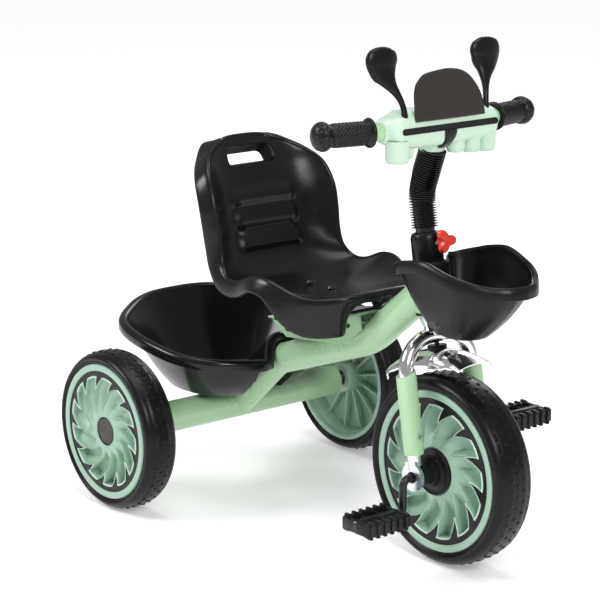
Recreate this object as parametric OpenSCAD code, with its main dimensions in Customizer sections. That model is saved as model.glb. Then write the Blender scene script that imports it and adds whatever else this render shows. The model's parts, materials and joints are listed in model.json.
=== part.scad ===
// Child's tricycle with a bucket seat, two baskets, a toy dashboard and direct-drive front pedals.
// +X is forward, +Y is the rider's left and +Z is up. The wheels stand on z = 0, and the origin is
// the middle of the footprint.

/* [Wheels] */
// Radius of the front wheel over its tyre
front_wheel_r = 125; // [123:1:127]
// Radius of each rear wheel over its tyre
rear_wheel_r = 111; // [110:1:113]
// Width of the front tyre
front_tyre_w = 60; // [58:1:62]
// Width of each rear tyre
rear_tyre_w = 50; // [48:1:52]
// Number of turbine blades on each wheel face
blades = 13; // [9:1:15]

/* [Frame] */
// Distance between the front and rear axles
wheelbase = 440; // [436:1:446]
// Distance between the centre planes of the rear wheels
rear_track = 424; // [420:1:430]
// Outside diameter of the bent beam
beam_d = 42.5; // [42:0.25:42.75]
// Backward lean of the steering axis, in degrees
lean = 10; // [9.5:0.5:10.5]

/* [Steering and handlebar] */
// Distance of each fork leg from the middle plane
leg_y = 57; // [56:0.5:58]
// Height of the handlebar centre above the front axle, along the steering axis
bar_height = 437; // [434:1:440]
// Half of the handlebar's width, to the middle of each grip's ball end
bar_reach = 175; // [172:1:178]
// Distance of each pedal pin from the wheel axis
crank_throw = 45; // [42:1:48]

/* [Seat and baskets] */
// Greatest half width of the seat
seat_half_w = 117; // [110:1:120]
// Half width of the rear basket's opening
rear_basket_half_w = 150; // [140:1:152]
// Half width of the front basket
front_basket_half_w = 70; // [66:1:72]

/* [Hidden] */

$fn = 64;
fit = 0.05;                 // radial running clearance of every shaft in its bore
gap = 0.3;                  // clearance between parts that are screwed together
joint_lap = 1;              // straight legs run this far into each bend
bend_swell = 0.12;          // bends are this much thicker on every side than the straight legs

// Colours
mint = [0.63, 0.80, 0.63];
pale_mint = [0.76, 0.87, 0.78];
wheel_mint = [0.58, 0.76, 0.64];
black = [0.13, 0.13, 0.13];
smoke = [0.22, 0.18, 0.17];
chrome = [0.85, 0.85, 0.86];
zinc = [0.72, 0.76, 0.80];
red = [0.85, 0.20, 0.13];

// The rear basket's rim: a leaning superellipse behind the seat, measured from the rear axle
rear_tilt = 12;
rear_rim = [-22, 218];
rear_half_l = 136.5;
rear_lip = 12;

// Places along the length. The rear basket overhangs the rear axle and the front tyre ends the toy.
basket_overhang = rear_half_l * cos(rear_tilt) + rear_lip * sin(rear_tilt) - rear_rim[0];
rear_x = (basket_overhang - wheelbase - front_wheel_r) / 2;
front_x = rear_x + wheelbase;

// Tube sizes
tube_wall = 2;
axle_tube_half = 176;
axle_tube_d = 44;
leg_d = 19;
steerer_d = 29;
post_d = 25;
bar_d = 22;
head_tube_d = 46;
rod_d = 10;
rear_axle_d = 12;
rear_cap_seat = 16;         // height of the hub's outer end above the wheel's centre plane

// Heights along the steering axis, above the front axle
crown_h = 172;
head_low = 203;
head_top = 262;
sleeve_top = 304;
knob_h = 289;
post_start = 215;
post_bend_h = 355;
hose_start = 309;
hose_upper = 44;
hose_d = 34;
post_bend = 30;
post_bend_r = 60;
bar_forward = 38;

// Sweep of the handlebar
bar_straight = 82;
bar_sweep = 12;
bar_bend_r = 40;
bar_grip_len = (bar_reach - bar_straight - bar_bend_r * sin(bar_sweep)) / cos(bar_sweep);

// Main beam, as straight lengths and bends from the rear axle up to the head tube
beam_rise_1 = 42;
beam_rise_2 = 19.5;
beam_rise_3 = 39.5;
beam_bend_r = [70, 150];
beam_inset = 2;             // the beam starts this far from the axle's centre line
beam_legs = [110 - beam_inset, 167, 99];

// ---------------------------------------------------------------- shared shapes

// A round bar, or a tube when it has a bore, bent in one plane: straight legs joined by bends. It
// starts along +X, and a positive bend turns it towards +Z.
module bent_rod(d, legs, bends, radii, bore = 0, i = 0) {
  before = i > 0 ? joint_lap : 0;
  after = i < len(bends) ? joint_lap : 0;
  translate([-before, 0, 0]) rotate([0, 90, 0])
    linear_extrude(legs[i] + before + after) tube_section(d, bore);
  if (i < len(bends)) {
    a = bends[i];
    r = radii[i];
    translate([legs[i], 0, 0]) {
      rotate([a < 0 ? 180 : 0, 0, 0]) translate([0, 0, r]) rotate([90, 0, 0]) rotate([0, 0, -90])
        rotate_extrude(angle = abs(a)) translate([r, 0])
          tube_section(d + 2 * bend_swell, bore > 0 ? bore - 2 * bend_swell : 0);
      translate([r * sin(abs(a)), 0, sign(a) * r * (1 - cos(a))]) rotate([0, -a, 0])
        bent_rod(d, legs, bends, radii, bore, i + 1);
    }
  }
}

module tube_section(d, bore) {
  difference() {
    circle(d = d);
    if (bore > 0) circle(d = bore);
  }
}

module ring(outer_d, inner_d, h) {
  difference() {
    cylinder(h = h, d = outer_d);
    translate([0, 0, -1]) cylinder(h = h + 2, d = inner_d);
  }
}

module both_sides() {
  children();
  mirror([0, 1, 0]) children();
}

// Frame of the steered parts: origin at the front axle, +Z up the steering axis.
module in_fork() {
  translate([front_x, 0, front_wheel_r]) rotate([0, -lean, 0]) children();
}

// Frame of the handlebar: origin at the bar's middle, level with the ground.
module in_bar() {
  in_fork() translate([bar_forward, 0, bar_height]) rotate([0, lean, 0]) children();
}

// Frame of one grip: +Z runs outwards along the swept end of the bar. side is 1 left, -1 right.
module in_grip(side) {
  in_bar() mirror([0, side < 0 ? 1 : 0, 0])
    translate([-bar_bend_r * (1 - cos(bar_sweep)), bar_straight + bar_bend_r * sin(bar_sweep), 0])
      rotate([0, 0, bar_sweep]) rotate([-90, 0, 0]) children();
}

// Frames of the wheels: +Z runs along the axle, outwards on a rear wheel.
module in_front_wheel() {
  translate([front_x, 0, front_wheel_r]) rotate([90, 0, 0]) children();
}

module in_rear_wheel(side) {
  translate([rear_x, side * rear_track / 2, rear_wheel_r]) rotate([-90 * side, 0, 0]) children();
}

// A point measured from the rear axle's place on the ground
function from_rear(x, y, z) = [rear_x + x, y, z];

function arc(c, r, a0, a1, n = 8) =
  [for (i = [0:n]) c + r * [cos(a0 + (a1 - a0) * i / n), sin(a0 + (a1 - a0) * i / n)]];

// Superellipse outline with half axes a and b
function superellipse(a, b, power, n = 48) =
  [for (i = [0:n - 1]) let (t = 360 * i / n, c = cos(t), s = sin(t))
    [a * sign(c) * pow(abs(c), 2 / power), b * sign(s) * pow(abs(s), 2 / power)]];

// ---------------------------------------------------------------- frame

module beam_run(d, bore = 0) {
  translate(from_rear(0, 0, rear_wheel_r)) rotate([0, -beam_rise_1, 0]) translate([beam_inset, 0, 0])
    bent_rod(d, beam_legs, [beam_rise_2 - beam_rise_1, beam_rise_3 - beam_rise_2], beam_bend_r, bore);
}

// Straight passage for the beam's first leg
module beam_passage(d) {
  translate(from_rear(0, 0, rear_wheel_r)) rotate([0, 90 - beam_rise_1, 0]) cylinder(h = 200, d = d);
}

// The passage with straight sides below its middle, so nothing hangs over the basket's floor
module beam_slot(d) {
  beam_passage(d);
  translate(from_rear(0, 0, rear_wheel_r)) rotate([0, 90 - beam_rise_1, 0]) translate([0, -d / 2, 0])
    cube([120, d, 200]);
}

module frame_beam() {
  color(mint) difference() {
    beam_run(beam_d, beam_d - 2 * tube_wall);
    translate(from_rear(0, 40, rear_wheel_r)) rotate([90, 0, 0]) cylinder(h = 80, d = axle_tube_d);
    in_fork() cylinder(h = head_top + 40, d = head_tube_d);
  }
}

module head_tube() {
  color(mint) in_fork() translate([0, 0, head_low])
    ring(head_tube_d, head_tube_d - 2 * tube_wall, head_top - head_low);
}

module rear_axle_tube() {
  color(mint) translate(from_rear(0, axle_tube_half, rear_wheel_r)) rotate([90, 0, 0])
    ring(axle_tube_d, axle_tube_d - 2 * tube_wall, 2 * axle_tube_half);
}

// Channel welded over the beam. Its flat top overhangs the side walls, and the seat plate hooks
// under those edges.
bracket_tilt = 12;
bracket_len = 190;
bracket_half = 27.5;
bracket_wall = 2.5;
bracket_side = beam_d / 2 + 0.05;
bracket_rear = [102, 262];
lock_at = [57, -13.5];
slot_from = [90, -16];
slot_len = 76;

module in_bracket() {
  translate(from_rear(bracket_rear[0], 0, bracket_rear[1])) rotate([0, -bracket_tilt, 0]) children();
}

// Side wall outline: x along the top, y below it
module bracket_wall_outline() {
  difference() {
    polygon([[0, -1], [bracket_len, -1], [bracket_len, -22], [150, -42], [30, -30]]);
    translate(slot_from) hull() {
      circle(d = 6);
      translate([slot_len, 0]) circle(d = 6);
    }
  }
}

module seat_bracket() {
  color(mint) in_bracket() difference() {
    union() {
      translate([0, -bracket_half, -bracket_wall]) cube([bracket_len, 2 * bracket_half, bracket_wall]);
      both_sides() translate([0, bracket_side + bracket_wall, 0]) rotate([90, 0, 0])
        linear_extrude(bracket_wall) bracket_wall_outline();
    }
    translate([lock_at[0], -bracket_side + 1, lock_at[1]]) rotate([90, 0, 0])
      cylinder(h = bracket_wall + 2, d = 8 + 2 * fit);
  }
}

module head_bearing_cups() {
  bore = steerer_d + 2 * fit;
  insert_d = head_tube_d - 2 * tube_wall;
  color(black) in_fork() {
    translate([0, 0, head_top - 10]) ring(insert_d, bore, 10);
    translate([0, 0, head_top]) ring(head_tube_d, bore, 4);
    translate([0, 0, head_low]) ring(insert_d, bore, 10);
    translate([0, 0, head_low - 4]) ring(head_tube_d, bore, 4);
  }
}

module rear_axle() {
  half = rear_track / 2 + rear_cap_seat + 3;
  color(zinc) translate(from_rear(0, half, rear_wheel_r)) rotate([90, 0, 0])
    cylinder(h = 2 * half, d = rear_axle_d);
}

module axle_tube_bushes() {
  color(black) both_sides()
    translate(from_rear(0, axle_tube_half, rear_wheel_r)) rotate([90, 0, 0])
      ring(axle_tube_d - 2 * tube_wall, rear_axle_d, 12);
}

module rear_axle_nuts() {
  color(zinc) both_sides()
    translate(from_rear(0, rear_track / 2 + rear_cap_seat + 1, rear_wheel_r))
      rotate([90, 0, 0]) difference() {
      cylinder(h = 5.6, d = 22, $fn = 6);
      translate([0, 0, -1]) cylinder(h = 8, d = rear_axle_d);
    }
}

// ---------------------------------------------------------------- rear basket

rear_floor_z = 134;
basket_wall = 3;
beam_room = 3.5;

module rear_section(z, half_l, half_w, tilt, h) {
  translate(from_rear(rear_rim[0], 0, z)) rotate([0, tilt, 0]) translate([0, 0, -h])
    linear_extrude(h) polygon(superellipse(half_l, half_w, 2.7));
}

module rear_tub(inset) {
  w = rear_basket_half_w;
  hull() {
    rear_section(rear_rim[1] + (inset > 0 ? 1 : 0), rear_half_l - 6 - inset, w - 6 - inset, rear_tilt, 1);
    rear_section(172 + inset, rear_half_l - 20 - inset, w - 22 - inset, rear_tilt * 0.5, 1);
    rear_section(rear_floor_z + 1 + inset, rear_half_l - 52 - inset, w - 55 - inset, 0, 1);
  }
}

module rear_basket() {
  w = rear_basket_half_w;
  color(black) difference() {
    union() {
      difference() {
        rear_tub(0);
        difference() {
          rear_tub(basket_wall);
          beam_slot(beam_d + 2 * beam_room + 2 * basket_wall);
        }
      }
      difference() {
        rear_section(rear_rim[1], rear_half_l, w, rear_tilt, rear_lip);
        rear_section(rear_rim[1] + 1, rear_half_l - 10, w - 10, rear_tilt, rear_lip + 4);
      }
    }
    beam_slot(beam_d + 2 * beam_room);
    for (side = [-1, 1]) rear_basket_screw(side, 5, 11.5);
  }
}

// Two countersunk screws hold the tub down on the axle tube, with their heads just below its floor.
screw_sink = 0.5;
module rear_basket_screw(side, d, head_d) {
  translate(from_rear(0, 52 * side, rear_wheel_r))
    cylinder(h = rear_floor_z + basket_wall - rear_wheel_r, d = d);
  translate(from_rear(0, 52 * side, rear_floor_z + screw_sink))
    cylinder(h = basket_wall, d1 = d, d2 = head_d);
}

module rear_basket_screws() {
  color(zinc) difference() {
    for (side = [-1, 1]) rear_basket_screw(side, 4.6, 11);
    translate(from_rear(0, 0, rear_floor_z + basket_wall - 0.2)) linear_extrude(20)
      square([20, 140], center = true);
    translate(from_rear(0, 100, rear_wheel_r)) rotate([90, 0, 0]) cylinder(h = 200, d = axle_tube_d);
  }
}

// ---------------------------------------------------------------- front basket

front_basket_nose = 562;
head_room = 1.5;

// Outline with straight sides at the back and a superellipse nose
function bucket_outline(back, middle, nose, half_w, n = 14) = concat(
  [[back, -half_w]],
  [for (i = [0:2 * n]) let (t = -90 + 90 * i / n, c = cos(t), s = sin(t))
    [middle + (nose - middle) * pow(c, 0.8), half_w * sign(s) * pow(abs(s), 0.8)]],
  [[back, half_w]]);

module bucket_section(z, back, middle, nose, half_w) {
  translate(from_rear(0, 0, z)) linear_extrude(1)
    polygon(bucket_outline(back, middle, nose, half_w));
}

module bucket(inset) {
  w = front_basket_half_w - inset;
  nose = front_basket_nose - inset;
  hull() {
    bucket_section(304 + inset, 428, 440, nose - 82, w - 44);
    bucket_section(314 + inset, 414, 440, nose - 60, w - 28);
    bucket_section(350, 401, 450, nose - 24, w - 10);
    bucket_section(412, 388, 455, nose, w);
  }
}

// Side view of the bucket's top edge: low ears at the head tube, a hump, then a low nose
rim_stations = [[385, 389], [400, 394], [430, 402], [463, 406], [500, 396], [540, 385], [570, 381]];

module below_rim(drop) {
  rotate([90, 0, 0]) translate([rear_x, 0, -120]) linear_extrude(240)
    polygon(concat([[385, 200], for (p = rim_stations) [p[0], p[1] - drop]], [[570, 200]]));
}

module front_basket() {
  color(black) difference() {
    union() {
      intersection() {
        difference() {
          bucket(0);
          difference() {
            bucket(basket_wall);
            in_fork() cylinder(h = 340, d = head_tube_d + 2 * head_room + 2 * basket_wall);
          }
        }
        below_rim(0);
      }
      intersection() {
        difference() {
          bucket_lip(5);
          bucket_lip(-1);
        }
        difference() {
          below_rim(0);
          below_rim(11);
        }
      }
    }
    in_fork() cylinder(h = 340, d = head_tube_d + 2 * head_room);
    in_fork() translate([-60, -(front_basket_half_w - 34), 150])
      cube([60, 2 * (front_basket_half_w - 34), 200]);
    front_basket_bores(6);
  }
}

module bucket_lip(grow) {
  translate(from_rear(0, 0, 340)) linear_extrude(80)
    polygon(bucket_outline(404, 455, front_basket_nose - 4 + grow, front_basket_half_w - 4 + grow));
}

// Two screws fix the basket's back wall to the front of the head tube.
module front_basket_bores(d) {
  for (h = [222, 244])
    in_fork() translate([head_tube_d / 2 - tube_wall, 0, h]) rotate([0, 90, 0]) cylinder(h = 12, d = d);
}

module front_basket_screws() {
  color(zinc) difference() {
    union() {
      front_basket_bores(5);
      for (h = [222, 244])
        in_fork() translate([head_tube_d / 2 + head_room + basket_wall + 0.6, 0, h])
          rotate([0, 90, 0]) cylinder(h = 3, d = 11);
    }
    in_fork() cylinder(h = 300, d = head_tube_d);
    in_fork() translate([head_tube_d / 2 + head_room + basket_wall + 3.6, -20, 200]) cube([20, 40, 60]);
  }
}

// ---------------------------------------------------------------- seat

// Cross sections from the front lip to the top of the back. Each holds the middle's x and z, the
// edge's x and z, and the half width as a share of the seat's greatest half width.
seat_stations = [
  [313, 326, 312, 326, 0.10],
  [304, 333, 303, 331, 0.36],
  [289, 330, 289, 328, 0.54],
  [268, 325, 268, 326, 0.74],
  [243, 320, 243, 330, 0.88],
  [212, 316, 210, 342, 0.98],
  [180, 314, 180, 343, 1.00],
  [146, 315, 146, 331, 0.98],
  [112, 321, 120, 331, 0.97],
  [86, 338, 103, 345, 0.96],
  [68, 362, 93, 368, 0.98],
  [58, 392, 86, 400, 1.00],
  [50, 425, 78, 430, 0.99],
  [36, 456, 62, 458, 0.92],
  [21, 480, 38, 478, 0.76],
  [12, 495, 20, 489, 0.50]
];
seat_skin = 5;
seat_columns = 10;

function seat_tangent(i) = let (n = len(seat_stations) - 1, a = seat_stations[max(i - 1, 0)],
  b = seat_stations[min(i + 1, n)], d = [b[0] - a[0], b[1] - a[1]]) d / norm(d);

function seat_point(i, j, drop) = let (s = seat_stations[i], t = j / seat_columns,
  k = pow(abs(t), 3.2), n = seat_tangent(i))
  from_rear(s[0] + (s[2] - s[0]) * k + n[1] * drop, seat_half_w * s[4] * t,
    s[1] + (s[3] - s[1]) * k - n[0] * drop);

module seat_solid() {
  rows = len(seat_stations);
  cols = 2 * seat_columns + 1;
  top = [for (i = [0:rows - 1]) for (j = [-seat_columns:seat_columns]) seat_point(i, j, 0)];
  low = [for (i = [0:rows - 1]) for (j = [-seat_columns:seat_columns]) seat_point(i, j, -seat_skin)];
  under = rows * cols;
  quads = concat(
    [for (i = [0:rows - 2]) for (j = [0:cols - 2]) let (a = i * cols + j)
      [a, a + cols, a + cols + 1, a + 1]],
    [for (i = [0:rows - 2]) for (j = [0:cols - 2]) let (a = under + i * cols + j)
      [a, a + 1, a + cols + 1, a + cols]],
    [for (i = [0:rows - 2]) let (a = i * cols) [a, under + a, under + a + cols, a + cols]],
    [for (i = [0:rows - 2]) let (a = i * cols + cols - 1) [a, a + cols, under + a + cols, under + a]],
    [for (j = [0:cols - 2]) [j, j + 1, under + j + 1, under + j]],
    [for (j = [0:cols - 2]) let (a = (rows - 1) * cols + j) [a, under + a, under + a + 1, a + 1]]);
  faces = [for (q = quads) for (t = [[q[0], q[1], q[2]], [q[0], q[2], q[3]]]) t];
  resize([0, 0, 0]) polyhedron(concat(top, low), faces, convexity = 6);
}

module seat_shell() {
  color(black) difference() {
    seat_solid();
    translate(from_rear(25, 0, 473)) rotate([0, 90, 0]) hull() both_sides()
      translate([0, 32, -60]) cylinder(h = 120, r = 10, $fn = 32);
    for (x = seat_bolts) translate(from_rear(x, 0, 250)) cylinder(h = 100, d = 6.4);
  }
}

// Folded plate under the seat. Its edges hook below the bracket's top, so it can only slide.
plate_start = 18;
plate_len = 150;
plate_t = 2.5;
hook_w = 3;
hook_drop = bracket_wall + gap;
seat_bolts = [160, 204];
pan_under = 308.5;

module seat_plate() {
  inner = bracket_half + gap;
  color(mint) difference() {
    union() {
      in_bracket() {
        translate([plate_start, -inner - hook_w, fit]) cube([plate_len, 2 * (inner + hook_w), plate_t]);
        both_sides() {
          translate([plate_start, inner, -hook_drop - plate_t])
            cube([plate_len, hook_w, hook_drop + plate_t + fit + 1]);
          translate([plate_start, bracket_side + bracket_wall + gap, -hook_drop - plate_t])
            cube([plate_len, inner + 1 - bracket_side - bracket_wall - gap, plate_t]);
        }
      }
      for (x = seat_bolts) seat_riser(x);
    }
    for (x = seat_bolts) translate(from_rear(x, 0, 260)) cylinder(h = 80, d = 6.4);
  }
}

// Riser between the plate and the seat's underside
module seat_riser(x) {
  difference() {
    translate(from_rear(x, 0, 262)) cylinder(h = pan_under - 262, d = 26);
    in_bracket() translate([-20, -40, -60]) cube([bracket_len + 40, 80, 60 + fit + 1]);
  }
}

module seat_screws() {
  color(chrome) for (x = seat_bolts)
    translate(from_rear(x, 0, 290)) {
      cylinder(h = 28, d = 6);
      translate([0, 0, 27]) cylinder(h = 3, d1 = 13, d2 = 9);
    }
}

module seat_lock_knob() {
  color(black) in_bracket() translate([lock_at[0], -bracket_side - bracket_wall, lock_at[1]])
    rotate([90, 0, 0]) {
      translate([0, 0, 0.3]) cylinder(h = 4, d = 12);
      translate([0, 0, 4]) cylinder(h = 12, d = 14);
      translate([0, 0, -bracket_wall]) cylinder(h = 4, d = 8);
    }
}

// ---------------------------------------------------------------- fork

module fork_run(d, bore = 0) {
  bend_r = leg_y - 12;
  up = crown_h - bend_r - 20;
  translate([0, -leg_y, 20]) rotate([0, 0, -90]) rotate([0, -90, 0])
    bent_rod(d, [up, 24, up], [90, 90], [bend_r, bend_r], bore);
}

module fork_tube() {
  color(chrome) in_fork() difference() {
    fork_run(leg_d, leg_d - 2 * tube_wall);
    translate([0, 0, fender_r]) cylinder(h = crown_h - fender_r, d = 6 + 2 * fit);
  }
}

module steerer_tube() {
  color(chrome) in_fork() difference() {
    translate([0, 0, crown_h]) cylinder(h = sleeve_top - 4 - crown_h, d = steerer_d);
    translate([0, 0, crown_h - 1]) cylinder(h = sleeve_top - crown_h, d = post_d + 2 * fit);
    fork_run(leg_d);
    translate([0, 0, knob_h]) rotate([0, 90, 0]) cylinder(h = 30, d = 9);
  }
}

module crown_race() {
  color(chrome) in_fork() difference() {
    translate([0, 0, head_low - 18.5]) cylinder(h = 14, d1 = 31, d2 = 40);
    translate([0, 0, head_low - 20]) cylinder(h = 20, d = steerer_d);
  }
}

// Moulded cover round one fork leg
cover_low = 28;
cover_top = 128;

module fork_cover(side) {
  color(mint) in_fork() translate([0, side * leg_y, 0]) difference() {
    union() {
      translate([0, 0, cover_low]) cylinder(h = cover_top - cover_low, d = 27);
      translate([0, 0, cover_top]) intersection() {
        cylinder(h = 10, d = 27);
        translate([-14, side > 0 ? 0 : -14, 0]) cube([28, 14, 10]);
      }
    }
    translate([0, 0, cover_low - 1]) cylinder(h = cover_top, d = leg_d + 8 * fit);
    translate([8, 0, 52]) rotate([0, 90, 0]) cylinder(h = 10, d = 3.4);
  }
}

module fork_cover_left() fork_cover(1);
module fork_cover_right() fork_cover(-1);

module fork_cover_screws() {
  color(zinc) in_fork() both_sides() translate([leg_d / 2 + 4 * fit, leg_y, 52]) rotate([0, 90, 0]) {
    cylinder(h = 4.2, d = 3.2);
    translate([0, 0, 4.1]) cylinder(h = 1.2, d = 6);
  }
}

// Pressed plates in the foot of each leg, with a bushed hole for the front axle
dropout_y = 63;
dropout_t = 5;
bush_d = 15;

module fork_dropouts() {
  color(zinc) in_fork() both_sides() difference() {
    union() {
      translate([0, leg_y, 2]) cylinder(h = 44, d = leg_d - 2 * tube_wall);
      translate([0, leg_y, 8]) cylinder(h = 12, d = leg_d);
      translate([0, dropout_y + dropout_t / 2, 0]) rotate([90, 0, 0]) cylinder(h = dropout_t, d = 36);
      translate([-9, dropout_y - dropout_t / 2, 0]) cube([18, dropout_t, 20]);
    }
    translate([0, 90, 0]) rotate([90, 0, 0]) cylinder(h = 60, d = bush_d);
    translate([-30, 0, -30]) cube([60, dropout_y - dropout_t / 2, 44]);
  }
}

module fork_bushes() {
  color(black) both_sides() translate([front_x, 0, front_wheel_r]) rotate([-90, 0, 0]) {
    translate([0, 0, dropout_y - dropout_t / 2]) ring(bush_d, rod_d + 2 * fit, dropout_t + 1);
    translate([0, 0, dropout_y - dropout_t / 2 - 2]) ring(20, rod_d + 2 * fit, 2);
  }
}

// Chrome mudguard: a short arched channel over the front tyre
fender_r = 141;
fender_half = 28;
fender_skirt = 9;
fender_boss = fender_r + 1;

// The same points on the other side of the middle, in reverse order
function other_side(points) = [for (i = [len(points) - 1:-1:0]) [points[i][0], -points[i][1]]];

module fender() {
  r = fender_r;
  outside = [[r - fender_skirt, fender_half], [r, fender_half], [r + 5, fender_half - 8], [r + 7, 11]];
  inside = [[r + 5.5, 11], [r + 3.5, fender_half - 8.5], [r - 1, fender_half - 1.5],
    [r - fender_skirt, fender_half - 1.5]];
  profile = concat(outside, other_side(outside), other_side(inside), inside);
  color(chrome) in_fork() difference() {
    union() {
      rotate([90, 0, 0]) rotate_extrude(angle = 67, start = 71) polygon(profile);
      translate([0, 0, fender_boss]) cylinder(h = crown_h - leg_d / 2 - fender_boss - fit, d = 18);
    }
    cylinder(h = 200, d = 6 + 2 * gap);
  }
}

module fender_bolt() {
  color(black) in_fork() {
    translate([0, 0, fender_boss - 5 - fit]) cylinder(h = 5, d = 13, $fn = 6);
    translate([0, 0, fender_boss - 1]) cylinder(h = crown_h - leg_d / 2 + 2 - fender_boss, d = 6);
  }
}

// ---------------------------------------------------------------- clamp

module clamp_sleeve() {
  color(black) in_fork() difference() {
    union() {
      translate([0, 0, head_top + 4.3]) cylinder(h = sleeve_top - head_top - 6.3, d = 40);
      translate([0, 0, sleeve_top - 2]) cylinder(h = 2, d1 = 40, d2 = 36);
      translate([14, 0, knob_h]) rotate([0, 90, 0]) cylinder(h = 13, d = 20);
    }
    cylinder(h = sleeve_top - 3, d = steerer_d);
    cylinder(h = 400, d = post_d + 4 * fit);
    translate([10, 0, knob_h]) rotate([0, 90, 0]) cylinder(h = 30, d = 8 + 2 * fit);
  }
}

module in_knob() {
  in_fork() translate([27.4, 0, knob_h]) rotate([0, 90, 0]) children();
}

module clamp_knob() {
  color(red) in_knob() difference() {
    union() {
      cylinder(h = 4, d = 15);
      translate([0, 0, 3]) linear_extrude(10) {
        circle(d = 18);
        for (i = [0:2]) rotate(60 + 120 * i) translate([10.4, 0]) circle(d = 12);
      }
    }
    translate([0, 0, -1]) cylinder(h = 9, d = 8);
  }
}

module clamp_screw() {
  tip = 27.4 - post_d / 2 - 0.3;
  color(zinc) in_knob() translate([0, 0, -tip]) cylinder(h = tip + 8, d = 8);
}

// ---------------------------------------------------------------- handlebar

module post_run(d, start, upper, bore = 0) {
  in_fork() translate([0, 0, start]) rotate([0, -90, 0])
    bent_rod(d, [post_bend_h - start, upper], [-post_bend], [post_bend_r], bore);
}

// The bar runs from the right grip to the left one
module bar_run(d, bore = 0, extra = 0) {
  end = bar_grip_len + extra;
  in_bar() translate([-bar_bend_r * (1 - cos(bar_sweep)), -bar_straight - bar_bend_r * sin(bar_sweep), 0])
    rotate([0, 0, 90 - bar_sweep]) rotate([-90, 0, 0]) translate([-end, 0, 0])
      bent_rod(d, [end, 2 * bar_straight, end], [bar_sweep, bar_sweep], [bar_bend_r, bar_bend_r], bore);
}

module handlebar_post() {
  reach = norm([bar_forward - post_bend_r * (1 - cos(post_bend)),
    bar_height - post_bend_h - post_bend_r * sin(post_bend)]);
  color(black) difference() {
    post_run(post_d, post_start, reach, post_d - 2 * tube_wall);
    in_bar() translate([0, 40, 0]) rotate([90, 0, 0]) cylinder(h = 80, d = bar_d + 2 * fit);
  }
}

module post_hose() {
  color(black) post_run(hose_d, hose_start, hose_upper, post_d + 2 * gap);
}

module handlebar_tube() {
  color(mint) bar_run(bar_d, bar_d - 2 * tube_wall);
}

module grip(side) {
  profile = concat(
    [[bar_d / 2 + fit, 13], [17, 13], [18.5, 14.5], [18.5, 17], [14.6, 21], [14.2, 45], [14.6, 68]],
    arc([9, 84], 9.5, -40, 90, 10),
    [[0, 93.5], [0, bar_grip_len + 0.2], [bar_d / 2 + fit, bar_grip_len + 0.2]]);
  color(black) in_grip(side) rotate_extrude() polygon(profile);
}

module grip_left() grip(1);
module grip_right() grip(-1);

// Dashboard housing in two moulded halves, split behind the bar
console_half = 76;
console_end = 92;
split_x = -1;
cups = [[9, -76, 16], [9, 76, 15], [9, 47, 12]];
cup_bottom = -38;
mirror_at = [19, 68];
visor_low = 8;

module console_solid(inset) {
  hull() {
    for (c = [[-2, 5, 19], [18, 4, 12], [16, -9, 12], [0, -5, 16]])
      translate([c[0], console_half - inset, c[1]]) rotate([90, 0, 0])
        cylinder(h = 2 * (console_half - inset), r = c[2] - inset, $fn = 32);
    translate([0, console_end - inset, 0]) rotate([90, 0, 0])
      cylinder(h = 2 * (console_end - inset), r = 16.5 - inset, $fn = 32);
  }
}

module console_shell() {
  difference() {
    union() {
      console_solid(0);
      for (c = cups) translate([c[0], c[1], cup_bottom]) cylinder(h = 30, r = c[2]);
      for (s = [-1, 1]) translate([mirror_at[0], s * mirror_at[1], 8]) cylinder(h = 16, d = 16);
    }
    difference() {
      console_solid(2.5);
      for (s = [-1, 1]) translate([mirror_at[0], s * mirror_at[1], 0]) cylinder(h = 30, d = 14);
    }
    for (c = cups) translate([c[0], c[1], cup_bottom + 2.5]) cylinder(h = 26, r = c[2] - 2.5);
    for (s = [-1, 1]) translate([mirror_at[0], s * mirror_at[1], 0]) cylinder(h = 40, d = 8 + 2 * fit);
    translate([25, -59.5, visor_low - gap]) cube([3.8, 119, 40]);
  }
}

module console_cuts() {
  bar_run(bar_d + 4 * fit, 0, 20);
  post_run(35, post_bend_h - 10, 80);
}

module console_front() {
  color(pale_mint) difference() {
    intersection() {
      in_bar() console_shell();
      in_bar() translate([split_x, -120, -60]) cube([80, 240, 120]);
    }
    strip_body();
    console_cuts();
  }
}

module console_rear() {
  color(pale_mint) difference() {
    intersection() {
      in_bar() console_shell();
      in_bar() translate([split_x - 80, -120, -60]) cube([80, 240, 120]);
    }
    console_cuts();
  }
}

module console_strip() {
  color(black) strip_body();
}

module strip_body() {
  in_bar() translate([28.5, 0, 1]) rotate([0, 90, 0]) linear_extrude(2.5) {
    square([8, 154], center = true);
    for (s = [-1, 1]) translate([0, 77 * s]) circle(d = 8);
  }
}

module strap_clip() {
  color(black) in_bar() translate([0, 20, 0]) rotate([90, 0, 0]) difference() {
    linear_extrude(13) difference() {
      translate([13, -3]) circle(r = 22);
      translate([13, -3]) circle(r = 20);
      translate([-20, -3.2]) square([80, 40]);
      translate([-20, -60]) square([31, 80]);
    }
    translate([0, 0, 13]) rotate([-90, 0, 0]) console_solid(-0.2);
  }
}

module visor() {
  half = 58;
  side_h = 34;
  outline = concat([[-half, 0], [-half, side_h]],
    [for (i = [1:15]) let (t = 180 - 180 * i / 16) [half * sign(cos(t)) * pow(abs(cos(t)), 0.8),
      side_h + 30 * pow(sin(t), 0.8)]], [[half, side_h], [half, 0]]);
  color(smoke) in_bar() translate([27.6, 0, visor_low]) rotate([0, -5, 0])
    rotate([90, 0, 0]) rotate([0, 90, 0])
    linear_extrude(1.8, center = true) polygon(outline);
}

// Toy mirror on a stalk. Its foot turns in a socket of the dashboard.
mirror_head = [-4, 86, 73];

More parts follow.
